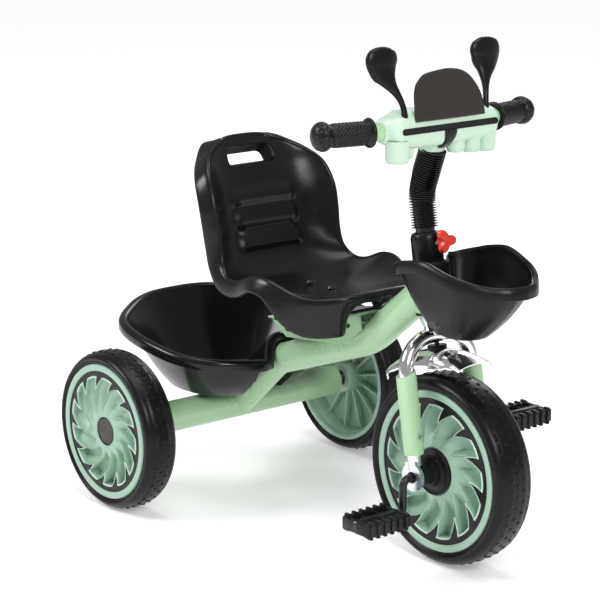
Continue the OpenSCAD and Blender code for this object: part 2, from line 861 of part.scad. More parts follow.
module mirror_arm(side) {
  head = [mirror_head[0], side * mirror_head[1], mirror_head[2]];
  foot = [mirror_at[0], side * mirror_at[1], 30];
  color(black) in_bar() difference() {
    union() {
      translate([foot[0], foot[1], 10]) cylinder(h = 21, d = 8);
      hull() {
        translate(foot) sphere(d = 8, $fn = 24);
        translate(head + [6, -side * 4, -28]) sphere(d = 9, $fn = 24);
      }
      hull() {
        translate(head + [6, -side * 4, -28]) sphere(d = 9, $fn = 24);
        translate(head + [-5, 0, 0]) rotate([0, 90, 0]) cylinder(h = 3, d = 46, $fn = 32);
        translate(head + [3, 0, 3]) sphere(d = 28, $fn = 24);
      }
    }
    translate(head + [-6, 0, 0]) rotate([0, 90, 0]) cylinder(h = 2.6, d = 40);
  }
}

module mirror_glass(side) {
  head = [mirror_head[0], side * mirror_head[1], mirror_head[2]];
  color(chrome) in_bar() translate(head + [-5, 0, 0]) rotate([0, 90, 0]) cylinder(h = 1.5, d = 39.4);
}

module mirror_left() mirror_arm(1);
module mirror_right() mirror_arm(-1);
module mirror_glass_left() mirror_glass(1);
module mirror_glass_right() mirror_glass(-1);

// ---------------------------------------------------------------- wheels

flange_in = 8;              // depth of the flange seat below the tyre's side
tyre_h = 20;                // tyre height over the rim's ring

// Tyre section: flat tread, rounded shoulders and a step that the rim's ring covers
module tyre(r, w) {
  seat = r - tyre_h - 5;
  ring_r = r - tyre_h + 0.1;
  c = w * 0.2;
  half = w / 2;
  section = concat(
    [[seat, -half + flange_in], [ring_r, -half + flange_in], [ring_r, -half + 2], [ring_r + 5, -half]],
    arc([r - c, -half + c], c, -90, 0),
    arc([r - c, half - c], c, 0, 90),
    [[ring_r + 5, half], [ring_r, half - 2], [ring_r, half - flange_in], [seat, half - flange_in]]);
  color(black) rotate_extrude() polygon(section);
}

// Curved vane from the hub to the barrel
function vane_edge(r0, r1, sweep, t, side) = [for (i = [0:8]) let (k = side > 0 ? i / 8 : 1 - i / 8,
  r = r0 + (r1 - r0) * k, a = -sweep * k + side * t / 2 / r * 57.3) [r * cos(a), r * sin(a)]];

module vanes(r0, r1, h) {
  for (i = [0:blades - 1]) rotate([0, 0, 360 * i / blades]) linear_extrude(h)
    polygon(concat(vane_edge(r0, r1, 28, 3, 1), vane_edge(r0, r1, 28, 3, -1)));
}

// Moulded rim: hub, web, barrel and ring flanges. web is the height of the web's two faces.
module rim(r, w, hub_r, bore_d, low, high, web) {
  seat = r - tyre_h - 5;
  outer = r - tyre_h;
  half = w / 2;
  color(wheel_mint) difference() {
    union() {
      rotate_extrude() polygon([
        [bore_d / 2, low], [hub_r, low], [hub_r, web[0]], [seat - 4, web[0]],
        [seat - 4, -half + 2.5], [outer, -half + 2.5], [outer, -half + flange_in],
        [seat, -half + flange_in], [seat, half - flange_in], [outer, half - flange_in],
        [outer, half - 2.5], [seat - 4, half - 2.5], [seat - 4, web[1]], [hub_r, web[1]],
        [hub_r, high], [bore_d / 2, high]]);
      translate([0, 0, web[1] - 0.5]) vanes(hub_r - 1, seat - 3, half - 9 - web[1] + 0.5);
      translate([0, 0, -half + 9]) vanes(hub_r - 1, seat - 3, web[0] + half - 8.5);
    }
    translate([0, 0, low - 1]) cylinder(h = high - low + 2, d = bore_d);
  }
}

// Black inlay: a disc with one opening for each blade
module trim_ring(outer) {
  pitch = 360 / blades;
  inner = outer - 7;
  valley = outer - 30;
  star = [for (i = [0:blades - 1]) for (p = [[valley, 0], [inner, 3], [inner + 1, 8], [inner + 1, 14],
    [inner, 19], [inner - 9, 25]]) p[0] * [cos(pitch * i + p[1]), -sin(pitch * i + p[1])]];
  color(black) linear_extrude(2) difference() {
    circle(r = outer - 0.2);
    polygon(star);
  }
}

front_hub_half = front_tyre_w / 2 - 4;
rear_hub_in = rear_track / 2 - axle_tube_half - 1;

module front_rim() {
  in_front_wheel() rim(front_wheel_r, front_tyre_w, 32, rod_d, -front_hub_half, front_hub_half, [-3, 3]);
}

module front_tyre() {
  in_front_wheel() tyre(front_wheel_r, front_tyre_w);
}

module front_trims() {
  z = front_tyre_w / 2 - 8.9;
  in_front_wheel() for (s = [0, 1]) mirror([0, 0, s]) translate([0, 0, z])
    trim_ring(front_wheel_r - tyre_h - 9);
}

module front_hub_caps() {
  end = dropout_y - dropout_t / 2 - 2.3 - front_hub_half;
  in_front_wheel() for (s = [0, 1]) mirror([0, 0, s]) translate([0, 0, front_hub_half]) color(black)
    rotate_extrude() polygon([[rod_d / 2 + fit, 0.05], [29, 0.05], [29, 3], [26, 4.5], [15, 5.5],
      [13, 12], [9, end], [rod_d / 2 + fit, end]]);
}

module rear_rim(side) {
  in_rear_wheel(side) difference() {
    rim(rear_wheel_r, rear_tyre_w, 24, rear_axle_d + 2 * fit, -rear_hub_in, rear_cap_seat, [4, 8]);
    translate([0, 0, rear_cap_seat - 5]) cylinder(h = 10, d = 27);
  }
}

module rear_rim_left() rear_rim(1);
module rear_rim_right() rear_rim(-1);
module rear_tyre_left() in_rear_wheel(1) tyre(rear_wheel_r, rear_tyre_w);
module rear_tyre_right() in_rear_wheel(-1) tyre(rear_wheel_r, rear_tyre_w);

module rear_trim(side) {
  in_rear_wheel(side) translate([0, 0, rear_tyre_w / 2 - 8.9]) trim_ring(rear_wheel_r - tyre_h - 9);
}

module rear_trim_left() rear_trim(1);
module rear_trim_right() rear_trim(-1);

module rear_cap(side) {
  color(smoke) in_rear_wheel(side) translate([0, 0, rear_cap_seat]) rotate_extrude()
    polygon([[14, 0.05], [20.5, 0.05], [20.5, 5], [18.5, 7], [0, 7.5], [0, 6.3], [14, 6.3]]);
}

module rear_cap_left() rear_cap(1);
module rear_cap_right() rear_cap(-1);

// ---------------------------------------------------------------- crank and pedals

arm_y = 80;
arm_bend_r = 9;
pin_end = 160;

module crank_half() {
  rotate([0, 0, -90]) bent_rod(rod_d,
    [arm_y - arm_bend_r, crank_throw - 2 * arm_bend_r, pin_end - arm_y - arm_bend_r],
    [-90, 90], [arm_bend_r, arm_bend_r]);
}

module crank() {
  color(black) translate([front_x, 0, front_wheel_r]) {
    crank_half();
    rotate([180, 0, 0]) crank_half();
  }
}

// Frame of one pedal: origin on its pin, at the pedal's inner end. side is 1 left, -1 right.
module in_pedal(side) {
  translate([front_x, side * 92, front_wheel_r + side * crank_throw]) rotate([-90 * side, 0, 0])
    children();
}

pedal_len = 64;
pedal_depth = 56;
pedal_t = 22;

module pedal(side) {
  bar_w = 9;
  color(black) in_pedal(side) difference() {
    union() {
      cylinder(h = pedal_len, d = 18);
      for (s = [-1, 1]) translate([s * (pedal_depth - bar_w) / 2 - bar_w / 2, -pedal_t / 2, 0])
        cube([bar_w, pedal_t, pedal_len]);
      for (z = [0, pedal_len - 7]) translate([-pedal_depth / 2, -pedal_t / 2 + 2, z])
        cube([pedal_depth, pedal_t - 4, 7]);
      for (s = [-1, 1]) for (i = [0:4]) translate([s * pedal_depth / 2, 0, 6 + 13 * i])
        cube([6, pedal_t - 6, 6], center = true);
    }
    translate([0, 0, -1]) cylinder(h = pedal_len + 2, d = rod_d + 2 * fit);
  }
}

module pedal_left() pedal(1);
module pedal_right() pedal(-1);

module pedal_nuts() {
  color(zinc) for (side = [-1, 1]) in_pedal(side) translate([0, 0, pedal_len + 0.4])
    ring(15, rod_d, 3);
}

// ---------------------------------------------------------------- the whole tricycle

frame_beam();
head_tube();
rear_axle_tube();
seat_bracket();
head_bearing_cups();
rear_axle();
axle_tube_bushes();
rear_axle_nuts();
rear_basket();
rear_basket_screws();
front_basket();
front_basket_screws();
seat_shell();
seat_plate();
seat_screws();
seat_lock_knob();
fork_tube();
steerer_tube();
crown_race();
fork_cover_left();
fork_cover_right();
fork_cover_screws();
fork_dropouts();
fork_bushes();
fender();
fender_bolt();
clamp_sleeve();
clamp_knob();
clamp_screw();
handlebar_post();
post_hose();
handlebar_tube();
grip_left();
grip_right();
console_front();
console_rear();
console_strip();
strap_clip();
visor();
mirror_left();
mirror_right();
mirror_glass_left();
mirror_glass_right();
front_rim();
front_tyre();
front_trims();
front_hub_caps();
crank();
pedal_left();
pedal_right();
pedal_nuts();
rear_rim_left();
rear_rim_right();
rear_tyre_left();
rear_tyre_right();
rear_trim_left();
rear_trim_right();
rear_cap_left();
rear_cap_right();
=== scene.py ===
import json
import math

import bmesh
import bpy
from mathutils import Matrix, Vector


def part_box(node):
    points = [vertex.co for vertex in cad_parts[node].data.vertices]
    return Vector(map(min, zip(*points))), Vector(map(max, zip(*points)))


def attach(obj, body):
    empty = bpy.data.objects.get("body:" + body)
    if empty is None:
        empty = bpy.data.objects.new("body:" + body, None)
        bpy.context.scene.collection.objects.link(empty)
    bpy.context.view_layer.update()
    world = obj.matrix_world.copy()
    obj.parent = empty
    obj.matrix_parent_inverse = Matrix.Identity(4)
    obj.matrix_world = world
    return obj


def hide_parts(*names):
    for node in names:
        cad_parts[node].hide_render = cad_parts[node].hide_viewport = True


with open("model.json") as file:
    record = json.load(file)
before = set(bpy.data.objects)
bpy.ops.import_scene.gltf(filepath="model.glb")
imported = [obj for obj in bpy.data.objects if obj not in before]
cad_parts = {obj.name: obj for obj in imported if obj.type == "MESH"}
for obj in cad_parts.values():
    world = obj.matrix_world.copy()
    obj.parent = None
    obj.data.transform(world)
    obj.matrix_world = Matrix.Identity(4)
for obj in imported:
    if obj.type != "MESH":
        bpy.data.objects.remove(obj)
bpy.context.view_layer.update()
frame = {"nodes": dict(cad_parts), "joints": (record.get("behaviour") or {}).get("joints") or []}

# ------------------------------------------------------------------ places, all from the frame

MM = 0.001
joints = {j["name"]: j for j in frame["joints"]}


def size(node):
    low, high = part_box(node)
    return (high - low) / MM


def pivot(joint):
    return Vector(joints[joint]["pos_m"])


def frame_of(origin, x_axis, z_axis):
    """Matrix of a local frame with its axes in the row frame, taking millimetres to metres."""
    x, z = Vector(x_axis).normalized(), Vector(z_axis).normalized()
    y = z.cross(x)
    m = Matrix((x, y, z)).transposed().to_4x4()
    return Matrix.Translation(origin) @ m @ Matrix.Scale(MM, 4)


front_axle = pivot("front_wheel_spin")
rear_left, rear_right = pivot("rear_wheel_left_spin"), pivot("rear_wheel_right_spin")
rear_ground = Vector((rear_left.x, 0, 0))
steer_up = Vector(joints["steering"]["axis"])
steer_fwd = Vector((0, 1, 0)).cross(steer_up)

GROUND = frame_of(rear_ground, (1, 0, 0), (0, 0, 1))
FORK = frame_of(front_axle, steer_fwd, steer_up)
bar_low, bar_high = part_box("handlebar_tube")
bar_d = (bar_high.z - bar_low.z) / MM
BAR = frame_of(Vector((bar_high.x - bar_d / 2 * MM, 0, (bar_low.z + bar_high.z) / 2)), (1, 0, 0), (0, 0, 1))
FRONT_OUT = {-1: frame_of(front_axle, (1, 0, 0), (0, -1, 0)), 1: frame_of(front_axle, (-1, 0, 0), (0, 1, 0))}
REAR_OUT = {-1: frame_of(rear_right, (1, 0, 0), (0, -1, 0)), 1: frame_of(rear_left, (-1, 0, 0), (0, 1, 0))}
SIDES = {"left": 1, "right": -1}

front_r, rear_r = size("front_tyre").x / 2, size("rear_tyre_left").x / 2
front_w, rear_w = size("front_tyre").y, size("rear_tyre_left").y

# ------------------------------------------------------------------ mesh helpers


def smoothstep(a, b, x):
    t = min(1.0, max(0.0, (x - a) / (b - a)))
    return t * t * (3 - 2 * t)


def lerp(a, b, t):
    return a + (b - a) * t


def curve_through(points, t):
    """Point of a smooth curve through the listed tuples, with t from 0 to 1 over the whole list."""
    n = len(points) - 1
    s = min(max(t, 0.0), 1.0) * n
    i = min(int(s), n - 1)
    u = s - i
    p = [points[min(max(i + k, 0), n)] for k in (-1, 0, 1, 2)]
    return tuple(
        0.5 * (2 * b + (c - a) * u + (2 * a - 5 * b + 4 * c - d) * u * u + (3 * b - a - 3 * c + d) * u ** 3)
        for a, b, c, d in zip(*p)
    )


def finish_mesh(name, bm, matrix, body, material, replaces=(), sharp=35.0):
    bmesh.ops.recalc_face_normals(bm, faces=bm.faces)
    bmesh.ops.transform(bm, matrix=matrix, verts=bm.verts)
    mesh = bpy.data.meshes.new(name)
    bm.to_mesh(mesh)
    bm.free()
    mesh.shade_smooth()
    mesh.set_sharp_from_angle(angle=math.radians(sharp))
    obj = bpy.data.objects.new(name, mesh)
    bpy.context.scene.collection.objects.link(obj)
    mesh.materials.append(material)
    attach(obj, body)
    if replaces:
        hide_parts(*replaces)
    return obj


def grid(bm, rows, close_u=False, close_v=False):
    """Quads over rows of points. close_v joins each row's ends, close_u joins the last row to the first."""
    made = [[bm.verts.new(p) for p in row] for row in rows]
    n, m = len(made), len(made[0])
    for i in range(n if close_u else n - 1):
        for j in range(m if close_v else m - 1):
            a, b = made[i], made[(i + 1) % n]
            bm.faces.new((a[j], b[j], b[(j + 1) % m], a[(j + 1) % m]))
    return made


def lathe(bm, profile, steps=96, wobble=None):
    """Turns (radius, height) points about local Z. wobble(radius, height, angle) may move a point."""
    rows = []
    for i in range(steps):
        a = 2 * math.pi * i / steps
        row = []
        for r, h in profile:
            if wobble:
                r, h = wobble(r, h, a)
            row.append((r * math.cos(a), r * math.sin(a), h))
        rows.append(row)
    return grid(bm, rows, close_u=True, close_v=profile[0] == profile[-1])


def closed_lathe(bm, profile, steps=96, wobble=None):
    """A lathe whose profile's own ends are joined."""
    rows = []
    for i in range(steps):
        a = 2 * math.pi * i / steps
        pts = [wobble(r, h, a) if wobble else (r, h) for r, h in profile]
        rows.append([(r * math.cos(a), r * math.sin(a), h) for r, h in pts])
    return grid(bm, rows, close_u=True, close_v=True)


def thicken(bm, depth):
    """Gives an open sheet a second face at a depth behind it, and closes its border."""
    bmesh.ops.recalc_face_normals(bm, faces=bm.faces)
    bm.normal_update()
    faces, verts = list(bm.faces), list(bm.verts)
    border = [e for e in bm.edges if len(e.link_faces) == 1]
    twin = {v: bm.verts.new(v.co - v.normal * depth) for v in verts}
    for f in faces:
        bm.faces.new([twin[v] for v in reversed(f.verts)])
    for e in border:
        a, b = e.verts
        bm.faces.new((a, b, twin[b], twin[a]))


def fan(bm, ring, centre):
    c = bm.verts.new(centre)
    for i in range(len(ring)):
        bm.faces.new((ring[i], ring[(i + 1) % len(ring)], c))


def rounded(points, radius, steps=4):
    """Rounds the corners of a closed outline of (a, b) points."""
    out = []
    n = len(points)
    for i in range(n):
        p, q, r = (Vector(points[(i + k) % n]) for k in (-1, 0, 1))
        cut = min(radius, (p - q).length * 0.45, (r - q).length * 0.45)
        a, b = q + (p - q).normalized() * cut, q + (r - q).normalized() * cut
        for k in range(steps + 1):
            t = k / steps
            out.append(tuple((a.lerp(q, t)).lerp(q.lerp(b, t), t)))
    return out


def sweep(bm, path, section, cap=True, side=Vector((0, 1, 0))):
    """Sweeps a section along a path of local points. section(t, a) gives the two offsets of a point at
    angle a, along the side direction and along the normal."""
    rows = []
    n = len(path)
    for i, p in enumerate(path):
        ahead = Vector(path[min(i + 1, n - 1)]) - Vector(path[max(i - 1, 0)])
        ahead.normalize()
        normal = ahead.cross(side).normalized()
        across = normal.cross(ahead).normalized()
        row = []
        for k in range(section.steps):
            u, v = section(i / (n - 1), 2 * math.pi * k / section.steps)
            row.append(Vector(p) + across * u + normal * v)
        rows.append(row)
    made = grid(bm, rows, close_v=True)
    if cap:
        fan(bm, made[0], Vector(path[0]))
        fan(bm, made[-1], Vector(path[-1]))
    return made


class Round:
    """Elliptical section whose half axes come from a function of the path parameter."""

    def __init__(self, half_axes, steps=32):
        self.half_axes, self.steps = half_axes, steps

    def __call__(self, t, a):
        u, v = self.half_axes(t)
        return u * math.cos(a), v * math.sin(a)


def box_block(bm, centre, half, radius=1.0, steps=2):
    """A block with rounded edges."""
    made = bmesh.ops.create_cube(bm, size=1.0)["verts"]
    bmesh.ops.scale(bm, vec=[2 * h for h in half], verts=made)
    bmesh.ops.translate(bm, vec=centre, verts=made)
    edges = list({e for v in made for e in v.link_edges})
    bmesh.ops.bevel(bm, geom=edges, offset=radius, segments=steps, affect="EDGES", profile=0.5)


# ------------------------------------------------------------------ materials


class Nodes:
    """Short hand for building a node tree."""

    def __init__(self, name, slot):
        self.material = bpy.data.materials.new(name)
        self.material.use_nodes = True
        self.material["slot"] = slot
        self.tree = self.material.node_tree
        self.bsdf = self.tree.nodes["Principled BSDF"]
        self.coord = self.tree.nodes.new("ShaderNodeTexCoord")

    def add(self, kind, **inputs):
        node = self.tree.nodes.new(kind)
        for key, value in inputs.items():
            self.put(node, key.replace("_", " "), value)
        return node

    def put(self, node, key, value):
        socket = node.inputs[int(key)] if key.isdigit() else node.inputs[key]
        if hasattr(value, "is_output"):
            self.tree.links.new(value, socket)
        else:
            socket.default_value = value

    def noise(self, scale, detail=4.0, roughness=0.55):
        node = self.add("ShaderNodeTexNoise", Scale=scale, Detail=detail, Roughness=roughness)
        self.tree.links.new(self.coord.outputs["Object"], node.inputs["Vector"])
        return node.outputs["Fac"]

    def span(self, value, low, high, out_low, out_high):
        node = self.add("ShaderNodeMapRange")
        for key, v in zip(("Value", "From Min", "From Max", "To Min", "To Max"), (value, low, high, out_low, out_high)):
            self.put(node, key, v)
        return node.outputs["Result"]

    def mix(self, factor, a, b):
        node = self.tree.nodes.new("ShaderNodeMix")
        node.data_type = "RGBA"
        for key, v in (("Factor", factor), ("A", a), ("B", b)):
            sockets = [s for s in node.inputs if s.name == key and (key == "Factor" or s.type == "RGBA")]
            if hasattr(v, "is_output"):
                self.tree.links.new(v, sockets[0])
            else:
                sockets[0].default_value = v
        return [s for s in node.outputs if s.type == "RGBA"][0]

    def bump(self, height, strength, distance, normal=None):
        node = self.add("ShaderNodeBump", Strength=strength, Distance=distance, Height=height)
        if normal is not None:
            self.put(node, "Normal", normal)
        return node.outputs["Normal"]

    def edge_wear_and_highlight(self, low=0.53, high=0.60):
        geometry = self.tree.nodes.new("ShaderNodeNewGeometry")
        return self.span(geometry.outputs["Pointiness"], low, high, 0.0, 1.0)


def shade(colour, k):
    return tuple(min(1.0, c * k) for c in colour) + (1.0,)


def finish(name, slot, colour, rough, grain=900.0, grain_depth=0.00003, metallic=0.0, coat=0.0,
           wear_and_highlight_colour=None, vary=0.06, specular=0.5, wear_and_highlight_amount=1.0, edges=True):
    """Common moulded or painted finish: slight colour drift, cloudy sheen, fine grain and paler edges, which are rubbed
    wear on most finishes and a painted highlight on the wheel mint.
    """
    n = Nodes(name, slot)
    cloud = n.noise(14.0, 3.0)
    fine = n.noise(grain, 2.0, 0.6)
    base = n.mix(n.span(cloud, 0.3, 0.7, 0.0, 1.0), shade(colour, 1 - vary), shade(colour, 1 + vary))
    # Pale edges: rubbed wear, and on the wheel mint a painted highlight along the vane edges.
    wear_and_highlight_colour = wear_and_highlight_colour or tuple(min(1.0, c * 1.25 + 0.01) for c in colour)
    wear_and_highlight_mask = n.tree.nodes.new("ShaderNodeMath")
    wear_and_highlight_mask.operation = "MULTIPLY"
    n.put(wear_and_highlight_mask, "0", n.edge_wear_and_highlight() if edges else n.span(n.noise(420.0, 1.0), 0.66, 0.80, 0.0, 1.0))
    n.put(wear_and_highlight_mask, "1", n.span(n.noise(60.0, 5.0), 0.35, 0.65, 0.2 * wear_and_highlight_amount, wear_and_highlight_amount))
    n.put(n.bsdf, "Base Color", n.mix(wear_and_highlight_mask.outputs[0], base, tuple(wear_and_highlight_colour) + (1.0,)))
    n.put(n.bsdf, "Roughness", n.span(n.noise(35.0, 4.0), 0.3, 0.7, rough * 0.85, rough * 1.15))
    n.put(n.bsdf, "Metallic", metallic)
    n.put(n.bsdf, "Specular IOR Level", specular)
    n.put(n.bsdf, "Coat Weight", coat)
    n.put(n.bsdf, "Coat Roughness", 0.06)
    n.put(n.bsdf, "Normal", n.bump(fine, 0.5, grain_depth))
    return n.material


def chrome_finish():
    n = Nodes("chrome", "chrome")
    smear = n.noise(40.0, 5.0)
    n.put(n.bsdf, "Base Color", n.mix(n.span(smear, 0.35, 0.7, 0.0, 1.0), (0.84, 0.84, 0.85, 1), (0.90, 0.90, 0.90, 1)))
    n.put(n.bsdf, "Metallic", 1.0)
    n.put(n.bsdf, "Roughness", n.span(smear, 0.3, 0.75, 0.11, 0.17))
    n.put(n.bsdf, "Normal", n.bump(n.noise(1200.0, 2.0), 0.15, 0.00001))
    return n.material


def zinc_finish():
    """Bright zinc plating: bluish patches over a brushed base."""
    n = Nodes("zinc", "zinc")
    patch = n.add("ShaderNodeTexVoronoi", Scale=260.0)
    n.tree.links.new(n.coord.outputs["Object"], patch.inputs["Vector"])
    tone = n.mix(n.span(n.noise(45.0, 4.0), 0.35, 0.65, 0.0, 1.0), (0.55, 0.63, 0.70, 1), (0.78, 0.80, 0.80, 1))
    n.put(n.bsdf, "Base Color", n.mix(0.12, tone, patch.outputs["Color"]))
    n.put(n.bsdf, "Metallic", 1.0)
    n.put(n.bsdf, "Roughness", n.span(n.noise(300.0, 3.0), 0.3, 0.7, 0.22, 0.36))
    n.put(n.bsdf, "Normal", n.bump(patch.outputs["Distance"], 0.2, 0.00004))
    return n.material


def mirror_finish():
    n = Nodes("mirror_face", "mirror_face")
    n.put(n.bsdf, "Base Color", n.mix(n.span(n.noise(25.0, 3.0), 0.3, 0.7, 0, 1), (0.82, 0.84, 0.85, 1), (0.9, 0.91, 0.92, 1)))
    n.put(n.bsdf, "Metallic", 1.0)
    n.put(n.bsdf, "Roughness", 0.03)
    n.put(n.bsdf, "Normal", n.bump(n.noise(30.0, 2.0), 0.05, 0.0001))
    return n.material


MINT = (0.365, 0.580, 0.345)
BLACK = (0.0065, 0.0065, 0.0068)

mint_paint = finish("mint_paint", "mint_paint", MINT, 0.30, grain=700, grain_depth=0.00001, coat=0.5,
                    vary=0.02, wear_and_highlight_amount=0.25, edges=False)
mint_cover = finish("mint_cover", "mint_cover", (0.372, 0.575, 0.350), 0.32, coat=0.3, vary=0.025, wear_and_highlight_amount=0.3)
# Wheel mint: its pale edge colour is a painted highlight, lighter mint on the vane edges where light catches them.
wheel_mint = finish("wheel_mint", "wheel_mint", (0.290, 0.450, 0.345), 0.34, vary=0.04, wear_and_highlight_colour=(0.52, 0.68, 0.57))
# Paler mint for the raised bead along the vanes: a painted highlight on the edge.
bead_mint_painted_highlight = finish("bead_mint_painted_highlight", "wheel_mint", (0.47, 0.62, 0.51), 0.30, vary=0.03, wear_and_highlight_amount=0.4)
pale_mint = finish("pale_mint", "pale_mint", (0.520, 0.680, 0.545), 0.34, vary=0.03, wear_and_highlight_amount=0.3)
black_plastic = finish("black_plastic", "black_plastic", BLACK, 0.31, grain=1500, grain_depth=0.00003,
                       vary=0.12, specular=0.20)
seat_plastic = finish("seat_plastic", "black_plastic", BLACK, 0.25, grain=1100, grain_depth=0.00004,
                      vary=0.12, specular=0.27, wear_and_highlight_amount=0.5)
matt_black = finish("matt_black", "black_plastic", BLACK, 0.70, vary=0.12, specular=0.08, wear_and_highlight_amount=0.2)
glossy_black = finish("glossy_black", "glossy_black", (0.006, 0.006, 0.0065), 0.20, grain=1600,
                      grain_depth=0.00001, vary=0.1, specular=0.30, wear_and_highlight_amount=0.1)
black_steel = finish("black_steel", "black_steel", (0.010, 0.010, 0.011), 0.30, vary=0.1, specular=0.4, wear_and_highlight_amount=0.1)
smoke_plastic = finish("smoke_plastic", "smoke_plastic", (0.026, 0.019, 0.017), 0.34, vary=0.06,
                       grain_depth=0.00001, specular=0.3)
red_plastic = finish("red_plastic", "red_plastic", (0.76, 0.035, 0.012), 0.32, coat=0.2, vary=0.06, wear_and_highlight_amount=0.3)
tyre_foam = finish("tyre", "tyre", (0.0060, 0.0058, 0.0058), 0.31, grain=800, grain_depth=0.00006, vary=0.15,
                   wear_and_highlight_colour=(0.02, 0.02, 0.02), specular=0.18)
grip_rubber = finish("grip_rubber", "grip_rubber", (0.005, 0.005, 0.005), 0.33, grain=1400,
                     grain_depth=0.00005, vary=0.12, specular=0.26, wear_and_highlight_amount=0.3)
chrome = chrome_finish()
zinc = zinc_finish()
mirror_face = mirror_finish()

# ------------------------------------------------------------------ tyres


def dome(bm, centre, out, up, across, radius, height):
    """A low round stud standing on a surface."""
    rings = []
    for share, lift in ((1.0, -0.4), (0.86, height * 0.75), (0.5, height)):
        rings.append([
            bm.verts.new(centre + out * lift + (up * math.cos(a) + across * math.sin(a)) * radius * share)
            for a in (2 * math.pi * k / 8 for k in range(8))
        ])
    for lower, upper in zip(rings, rings[1:]):
        for k in range(8):
            bm.faces.new((lower[k], lower[(k + 1) % 8], upper[(k + 1) % 8], upper[k]))
    bm.faces.new(rings[-1])


def tyre(name, matrix, radius, width, bead, body, node, rows):
    """Foam tyre: flat tread with dot studs, rounded shoulders and a smooth side wall with a fine groove."""
    half = width / 2
    bm = bmesh.new()
    wall = radius - bead
    crown = [
        (bead - 6, half - 9), (bead - 1, half - 4), (bead + 1, half - 1.6), (bead + 2.4, half - 1.1),
        (bead + 3.0, half - 1.9), (bead + 3.7, half - 0.9), (bead + wall * 0.40, half),
        (bead + wall * 0.58, half - 0.9), (bead + wall * 0.76, half - 4.2), (bead + wall * 0.90, half - 8.5),
        (radius - 1.6, half - 12), (radius - 1.3, half - 13), (radius - 0.5, half - 14.5), (radius, half * 0.3),
    ]
    profile = crown + [(r, -h) for r, h in reversed(crown)]
    closed_lathe(bm, profile, steps=180)
    pitch = 2 * math.pi / rows
    stud_d = 2 * math.pi * radius / rows
    for i in range(rows):
        offsets = (0.0,) if i % 2 else (-0.17, 0.17)
        for share in offsets:
            a = i * pitch
            out = Vector((math.cos(a), math.sin(a), 0))
            along = Vector((-math.sin(a), math.cos(a), 0))
            spot = out * (radius - 0.2) + Vector((0, 0, share * width))
            dome(bm, spot, out, along, Vector((0, 0, 1)), stud_d * 0.35, 1.2)
        for side in (-1, 1):
            a = (i + 0.5) * pitch
            if i % 2:
                continue
            out = Vector((math.cos(a), math.sin(a), 0))
            along = Vector((-math.sin(a), math.cos(a), 0))
            lean = (out * 0.80 + Vector((0, 0, side * 0.60))).normalized()
            spot = out * (radius - 3.6) + Vector((0, 0, side * (half - 8.4)))
            dome(bm, spot, lean, along, lean.cross(along), stud_d * 0.46, 1.0)
    return finish_mesh(name, bm, matrix, body, tyre_foam, (node,), sharp=50)


tyre("front_tyre_studded", FRONT_OUT[-1], front_r - 1, front_w, 106, "front_wheel", "front_tyre", 100)
for word, s in SIDES.items():
    tyre(f"rear_tyre_{word}_studded", REAR_OUT[s], rear_r - 1, rear_w, 95, f"{word}_rear_wheel", f"rear_tyre_{word}", 90)

# ------------------------------------------------------------------ wheels

BLADES = 13
DART_START, DART_TIP = 0.60, 0.74
BEAD = ((-1.6, -0.2), (-1.2, 0.8), (-0.6, 1.2), (0.1, 1.2), (0.7, 0.8), (1.0, -0.2))
PHASES = (0.0, 0.12, 0.24, 0.36, 0.48, 0.56, 0.60, 0.64, 0.68, 0.71, 0.74, 0.77, 0.81, 0.86, 0.92, 0.97)


def spiral_point(spec, phase, r, h):
    """Point at a radius on the swept grid: phase counts blades round the wheel."""
    turn = phase / BLADES - spec["sweep"] * (r - spec["hub"]) / (spec["tip"] - spec["hub"])
    a = 2 * math.pi * turn
    return (r * math.cos(a), r * math.sin(a), h)


def vane_edge(spec, phase):
    """Outer edge of the vanes: a flat tip, then a dart that cuts back toward the hub."""
    t = phase % 1.0
    if t < DART_START:
        return spec["tip"] - 1.5 * abs(t / DART_START - 0.5)
    if t < DART_TIP:
        depth = (t - DART_START) / (DART_TIP - DART_START)
    else:
        depth = ((1 - t) / (1 - DART_TIP)) ** 0.8
    return lerp(spec["tip"] - 0.75, spec["valley"], depth)


def vane_floor(spec, phase, share):
    """Depth of the scoops: a sharp ridge runs out to every dart and the floor dips beside it."""
    t = (phase - DART_TIP) % 1.0
    across = smoothstep(0.0, 0.16, t) * (1 - 0.80 * smoothstep(0.16, 1.0, t))
    return -spec["rise"] * across * smoothstep(0.0, 0.55, share) - 2.4 * smoothstep(0.0, 0.12, share)


def vanes(bm, spec, place):
    """The scooped mint dish, with a thin raised lip along its edge."""
    rings = 12
    rows = []
    for i in range(BLADES * len(PHASES)):
        phase = i // len(PHASES) + PHASES[i % len(PHASES)]
        edge = vane_edge(spec, phase)
        row = [spiral_point(spec, phase, spec["hub"] - 4, -3.0), spiral_point(spec, phase, spec["hub"], -0.4)]
        for j in range(1, rings + 1):
            share = j / rings
            r = lerp(spec["hub"] + 1, edge - 1.8, share)
            row.append(spiral_point(spec, phase, r, vane_floor(spec, phase, share)))
        for out, h in ((-1.2, -0.6), (-0.8, 0.5), (-0.2, 0.8), (0.4, 0.5), (0.6, -0.8)):
            row.append(spiral_point(spec, phase, edge + out, h))
        rows.append([place @ Vector(p) for p in row])
    grid(bm, rows, close_u=True)


def vane_edges(name, matrix, spec, body, nodes, faces):
    """Thin bead that stands along the outline of the vanes, in paler mint as a painted highlight on the raised edge."""
    bm = bmesh.new()
    for face in faces:
        place = face_place(spec["width"] / 2 - 2.0, face)
        rows = []
        for i in range(BLADES * len(PHASES)):
            phase = i // len(PHASES) + PHASES[i % len(PHASES)]
            edge = vane_edge(spec, phase)
            row = [spiral_point(spec, phase, edge + out, h) for out, h in BEAD]
            rows.append([place @ Vector(p) for p in row])
        grid(bm, rows, close_u=True)
    return finish_mesh(name, bm, matrix, body, bead_mint_painted_highlight, nodes, sharp=60)


def face_place(half, face):
    place = Matrix.Translation((0, 0, half))
    return place if face > 0 else Matrix.Rotation(math.pi, 4, "X") @ place


